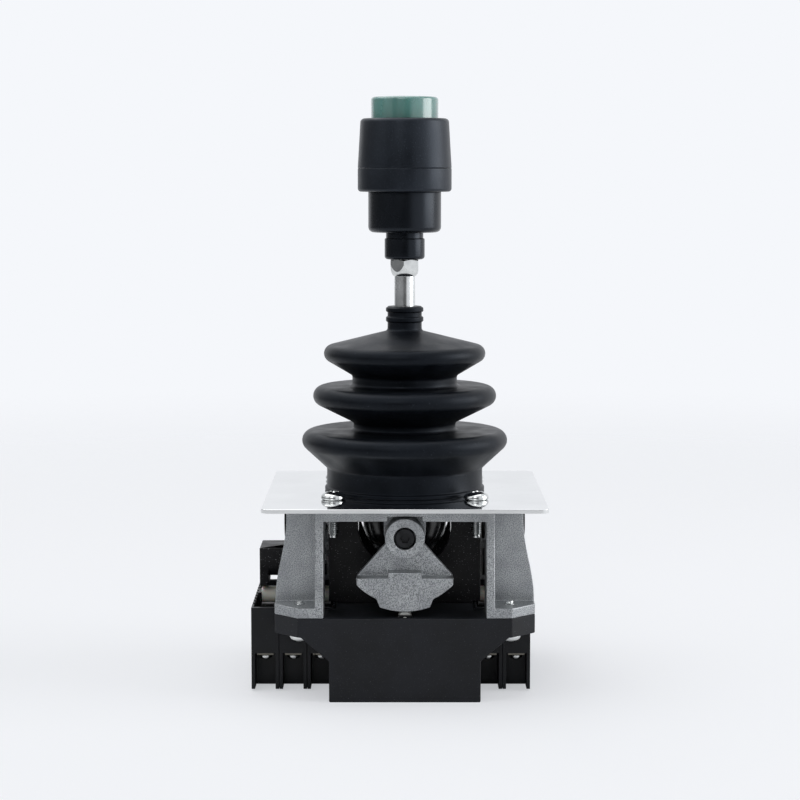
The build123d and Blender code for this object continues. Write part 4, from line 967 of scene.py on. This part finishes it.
turn = np.linspace(0, 2 * math.pi, nut_sides, endpoint=False)
hexagon = half_flats / np.cos(turn % (math.pi / 3) - math.pi / 6)
dome_rise = np.linspace(0, dome_height, 42)
bevel_rise = np.linspace(0, bevel_height, 7)
limit = np.concatenate([
    [thread_bore],
    dome_foot + (corner_radius - dome_foot) * (dome_rise / dome_height) ** dome_bend,
    corner_radius - (corner_radius - bevel_top) * bevel_rise / bevel_height,
    [thread_bore],
])
height = np.concatenate([
    [nut_low[2]], nut_low[2] + dome_rise, nut_high[2] - bevel_height + bevel_rise, [nut_high[2]]
])
radius = np.minimum(hexagon[None, :], limit[:, None])
nut_points = np.stack([
    radius * np.cos(turn + nut_turn), radius * np.sin(turn + nut_turn), height[:, None] + 0 * radius
], axis=-1)
piece = new_piece(
    "lock_nut", nut_points, grid_faces(len(height), nut_sides, True), zinc_plate, ("lever_nut",),
    sharp=20,
)
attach(piece, body_of["lever_nut"])

# %% [markdown]
# ## Screws
# A screw's head and its thread are one grid: the rows run from the tip up the thread, out under
# the head and over the dome to its middle. The thread is a triangular wave that climbs one pitch
# a turn, and the cross recess is cut by lowering the dome where either arm of the cross lies.

# %% Screw surface
screw_sides = 72
# These are shares: of the head's height for its edge, rim and recess, of the cross's reach for
# its slope, half width and flank, and of the thread's width at the very tip.
edge_share, rim_share, recess_share = 0.24, 0.35, 0.4
slope_share, arm_share, flank_share = 0.45, 0.19, 0.1
tip_share = 0.75


def screw(head_width, head_height, width, length, plain, pitch, cross):
    """Dome head screw with its seat at zero: thread below, dome with a cross recess above.

    Below its plain length the radius is the core plus the depth times a triangular wave of
    height / pitch - turn. A quarter circle rounds the head's lower edge, and the dome is a half
    ellipse over a straight rim.
    """
    turn = np.linspace(0, 2 * math.pi, screw_sides, endpoint=False)
    depth = 0.5 * pitch
    rises = np.arange(-length + 0.4, -plain, pitch / 8)[:, None]
    wave = 1 - np.abs(2 * ((rises / pitch - turn / (2 * math.pi)) % 1) - 1)
    thread = width / 2 - depth + depth * wave
    thread *= np.clip((rises + length) / 1.2, tip_share, 1)
    edge, rim = edge_share * head_height, head_height * rim_share
    bend = np.linspace(0, math.pi / 2, 6)
    below = np.array([(0, -length), (width / 2 - 0.6, -length)])
    above = np.array([
        (width / 2, -plain), (width / 2, 0),
        *zip(head_width / 2 - edge + edge * np.sin(bend), edge - edge * np.cos(bend)),
        (head_width / 2, rim),
    ])
    across = np.linspace(1, 0, 26)[1:, None] * head_width / 2
    dome = rim + (head_height - rim) * np.sqrt(1 - (2 * across / head_width) ** 2) + 0 * turn
    east, north = np.abs(across * np.cos(turn)), np.abs(across * np.sin(turn))
    arm, off_arm = np.maximum(east, north), np.minimum(east, north)
    reach = np.clip((cross - arm) / (slope_share * cross), 0, 1)
    slot = np.clip((arm_share * cross - off_arm) / (flank_share * cross) + 0.5, 0, 1)
    dome = dome - recess_share * head_height * reach * slot
    ring = np.ones(screw_sides)
    radius = np.concatenate([below[:, :1] * ring, thread, above[:, :1] * ring, across * ring])
    height = np.concatenate([below[:, 1:] * ring, rises * ring, above[:, 1:] * ring, dome])
    points = np.stack([radius * np.cos(turn), radius * np.sin(turn), height], axis=-1)
    return points, grid_faces(len(radius), screw_sides)


def placed(points, faces, places, turns):
    """Copies of one grid at several places, each turned about its own axis, as one grid."""
    cosine, sine = np.cos(turns)[:, None], np.sin(turns)[:, None]
    flat = points.reshape(-1, 3)
    x = flat[:, 0] * cosine - flat[:, 1] * sine
    y = flat[:, 0] * sine + flat[:, 1] * cosine
    moved = np.stack([x, y, flat[:, 2] + 0 * x], axis=-1) + np.array(places)[:, None, :]
    shifted = faces + len(flat) * np.arange(len(places))[:, None, None]
    return moved, shifted.reshape(-1, 4)


test_screw = screw(head_width=8, head_height=3, width=4, length=10, plain=5, pitch=0.7, cross=2)
print("a screw of 10 mm has", len(test_screw[1]), "faces")

# %% [markdown]
# Four screws hold the plate to the frame, four more come up through the feet, and each contact
# housing has a terminal screw at both ends. Foot and terminal screws stand on their heads. No
# two screws stop at the same turn, so each copy gets its own.

# %% Plate and foot screws
screw_turns = np.array([0.4, 1.3, 0.1, 0.9])
quadrants = np.array([(1, 1), (-1, 1), (-1, -1), (1, -1)])
upside_down = np.array([1, -1, -1])
screw_sharp = 25               # degrees

screw_low, screw_high = box_mm("plate_screws")
plate_head = 8.8
points, faces = screw(
    plate_head, head_height=3.0, width=4.0, length=plate_top - screw_low[2], plain=4.8, pitch=0.7,
    cross=2.0,
)
seats = np.column_stack([
    quadrants * (screw_high[:2] - plate_head / 2), np.full(4, plate_top)
])
piece = new_piece(
    "plate_screw_set", *placed(points, faces, seats, screw_turns), zinc_plate, ("plate_screws",),
    screw_sharp,
)
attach(piece, "root")

screw_low, screw_high = box_mm("foot_screws")
foot_head, foot_head_height = 8.0, 3.1
foot_seat = screw_low[2] + foot_head_height
points, faces = screw(
    foot_head, foot_head_height, width=4.0, length=screw_high[2] - foot_seat, plain=9.8, pitch=0.7,
    cross=2.3,
)
seats = np.column_stack([
    quadrants * (screw_high[:2] - foot_head / 2), np.full(4, foot_seat)
])
piece = new_piece(
    "foot_screw_set", *placed(points * upside_down, faces, seats, screw_turns + 0.5), zinc_plate,
    ("foot_screws",), screw_sharp,
)
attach(piece, "root")

# %% Terminal screws
screw_low, screw_high = box_mm("terminal_screws")
terminal_head, terminal_head_height = 4.8, 2.0
terminal_seat = screw_low[2] + terminal_head_height
housings = [box_mm(f"contact_housing_{number}") for number in range(1, 6)]
pole_x = [(low[0] + high[0]) / 2 for low, high in housings]
pole_y = screw_high[1] - terminal_head / 2
seats = [(x, side * pole_y, terminal_seat) for x in pole_x for side in (-1, 1)]
points, faces = screw(
    terminal_head, terminal_head_height, width=3.0, length=screw_high[2] - terminal_seat,
    plain=4.0, pitch=0.5, cross=1.5,
)
piece = new_piece(
    "terminal_screw_set",
    *placed(points * upside_down, faces, np.array(seats), np.linspace(0.2, 2.6, len(seats))),
    zinc_plate, ("terminal_screws",), screw_sharp,
)
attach(piece, "root")

# %% [markdown]
# ## Return springs
# Each torsion spring is one wire: a leg comes up beside the stop, winds two and a half turns
# round the shaft and goes down on the other side. A tube along a path needs two directions
# across it at every point. The shaft's own direction is never along the wire, so it gives them.

# %% Wire along a path


def wire(path, radius, reference, sides=14):
    """Tube along a path, with side = path x reference and up = path x side at each point."""
    along = np.gradient(path, axis=0)
    along /= np.linalg.norm(along, axis=1, keepdims=True)
    side = np.cross(along, reference)
    side /= np.linalg.norm(side, axis=1, keepdims=True)
    up = np.cross(along, side)
    turn = np.linspace(0, 2 * math.pi, sides, endpoint=False)[None, :, None]
    tube = path[:, None] + radius * (np.cos(turn) * side[:, None] + np.sin(turn) * up[:, None])
    tips = [np.repeat(path[end][None, None], sides, axis=1) for end in (0, -1)]
    return np.concatenate([tips[0], tube, tips[1]]), grid_faces(len(path) + 2, sides)


straight = np.array([(0, 0, 0), (0, 0, 5), (0, 0, 10)], float)
print("a straight wire of 3 points has", len(wire(straight, 1, (1, 0, 0))[1]), "faces")

# %% Springs
spring_turns = 2.5
wire_radius = 0.48
coil_radius = 5.1
coil_pitch = 2 * wire_radius + 0.02
coil_start = 28.9 + wire_radius        # along the shaft, from the lug's face
leg_drop = 14.6                # from the shaft down to the tips
leg_points, coil_points = 59, 220

# Along the path the wire goes up the first leg, round the coil at the coil's radius times cosine
# and sine, and down the second leg. Each turn moves it out by one pitch.
leg = np.linspace(-leg_drop, 0, leg_points + 1)[:-1]
coil = np.linspace(0, 2 * math.pi * spring_turns, coil_points)
on_leg = np.ones(leg_points)
spring_side = coil_radius * np.concatenate([on_leg, np.cos(coil), on_leg * math.cos(coil[-1])])
spring_up = np.concatenate([leg, coil_radius * np.sin(coil), leg[::-1]])
spring_out = coil_start + coil_pitch * np.concatenate(
    [0 * on_leg, coil / (2 * math.pi), on_leg * spring_turns]
)
for name, side_way, out_way, body in (
    ("front_return_spring", (1, 0, 0), (0, -1, 0), "gimbal"),
    ("left_return_spring", (0, -1, 0), (-1, 0, 0), "yoke"),
):
    path = (
        spring_side[:, None] * np.array(side_way) + spring_up[:, None] * np.array([0, 0, 1])
        + spring_out[:, None] * np.array(out_way) + [0, 0, pivot_z]
    )
    piece = new_piece(
        name + "_wire", *wire(path, wire_radius, np.array(out_way)), spring_wire, (name,), sharp=50
    )
    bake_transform(piece)

# %% [markdown]
# ## Castings and mouldings
# The remaining pieces already have the right shape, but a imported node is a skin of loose
# triangles with knife sharp edges. A copy of it is welded, its flat faces are joined, and a
# bevel a few tenths of a millimetre wide softens every edge, as blasting or a mould does.

# %% Softened copies
copy_weld = 1e-6               # metres
flat_degrees = 0.3             # faces that turn less than this are one flat
smooth_degrees = 35            # edges that turn less are shaded smooth
bevel_degrees = 40             # edges that turn more get a bevel


def softened(node, edge_mm):
    """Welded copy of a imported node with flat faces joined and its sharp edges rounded."""
    source = frame["nodes"][node].data
    points = np.empty(len(source.vertices) * 3)
    corners = np.empty(len(source.loops), np.int32)
    source.vertices.foreach_get("co", points)
    source.loops.foreach_get("vertex_index", corners)
    mesh = bpy.data.meshes.new(node + "_soft")
    mesh.from_pydata(points.reshape(-1, 3).tolist(), [], corners.reshape(-1, 3).tolist())
    shape = bmesh.new()
    shape.from_mesh(mesh)
    bmesh.ops.remove_doubles(shape, verts=shape.verts, dist=copy_weld)
    bmesh.ops.dissolve_limit(
        shape, angle_limit=math.radians(flat_degrees), verts=shape.verts, edges=shape.edges
    )
    shape.to_mesh(mesh)
    shape.free()
    mesh.shade_smooth()
    mesh.set_sharp_from_angle(angle=math.radians(smooth_degrees))
    mesh.materials.append(material_of[slot_of[node]])
    piece = bpy.data.objects.new(node + "_soft", mesh)
    bpy.context.scene.collection.objects.link(piece)
    bevel = piece.modifiers.new("edges", "BEVEL")
    bevel.width = edge_mm * MM
    bevel.segments = 2
    bevel.limit_method = "ANGLE"
    bevel.angle_limit = math.radians(bevel_degrees)
    bevel.harden_normals = True
    bevel.use_clamp_overlap = False
    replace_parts(piece, node)
    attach(piece, body_of[node])


print("edges over", bevel_degrees, "degrees get a bevel")

# %% Width of each piece's edges, in millimetres
edge_of = {
    "frame": 0.35, "base": 0.4, "mounting_plate": 0.2, "shroud": 0.25, "front_cam": 0.35,
    "left_cam": 0.35, "right_cam": 0.35, "side_yoke": 0.3, "lever_rod": 0.2, "gimbal_ball": 0.2,
    "front_plunger": 0.15, "bottom_cover": 0.2, "front_cam_screw": 0.15, "side_cam_screws": 0.15,
    "terminal_strips": 0.1, "rear_circlip": 0.1, "shaft_bushes": 0.12, "front_roller": 0.25,
}
for number in range(1, 6):
    edge_of[f"contact_housing_{number}"] = 0.15
    edge_of[f"contact_plunger_{number}"] = 0.15
    edge_of[f"contact_roller_{number}"] = 0.3
for node, edge_mm in edge_of.items():
    softened(node, edge_mm)
print("softened:", len(edge_of), "nodes")

# %% [markdown]
# ## Pieces that stay as packed
# The shafts, the cross pin, the small springs, the switch and the cover's screws sit inside or
# underneath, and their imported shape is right. They only get the finish of their slot.

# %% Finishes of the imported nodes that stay
replaced = {node for piece in bpy.data.objects for node in piece.get("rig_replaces", [])}
for node, packed in frame["nodes"].items():
    if node not in replaced:
        for place in packed.material_slots:
            place.material = material_of[slot_of[node]]
print("kept as packed:", ", ".join(sorted(set(frame["nodes"]) - replaced)))

# %% [markdown]
# ## Closing
# Colours are shown as they are written, with no film look over them.

# %% View
bpy.context.scene.view_settings.view_transform = "Standard"
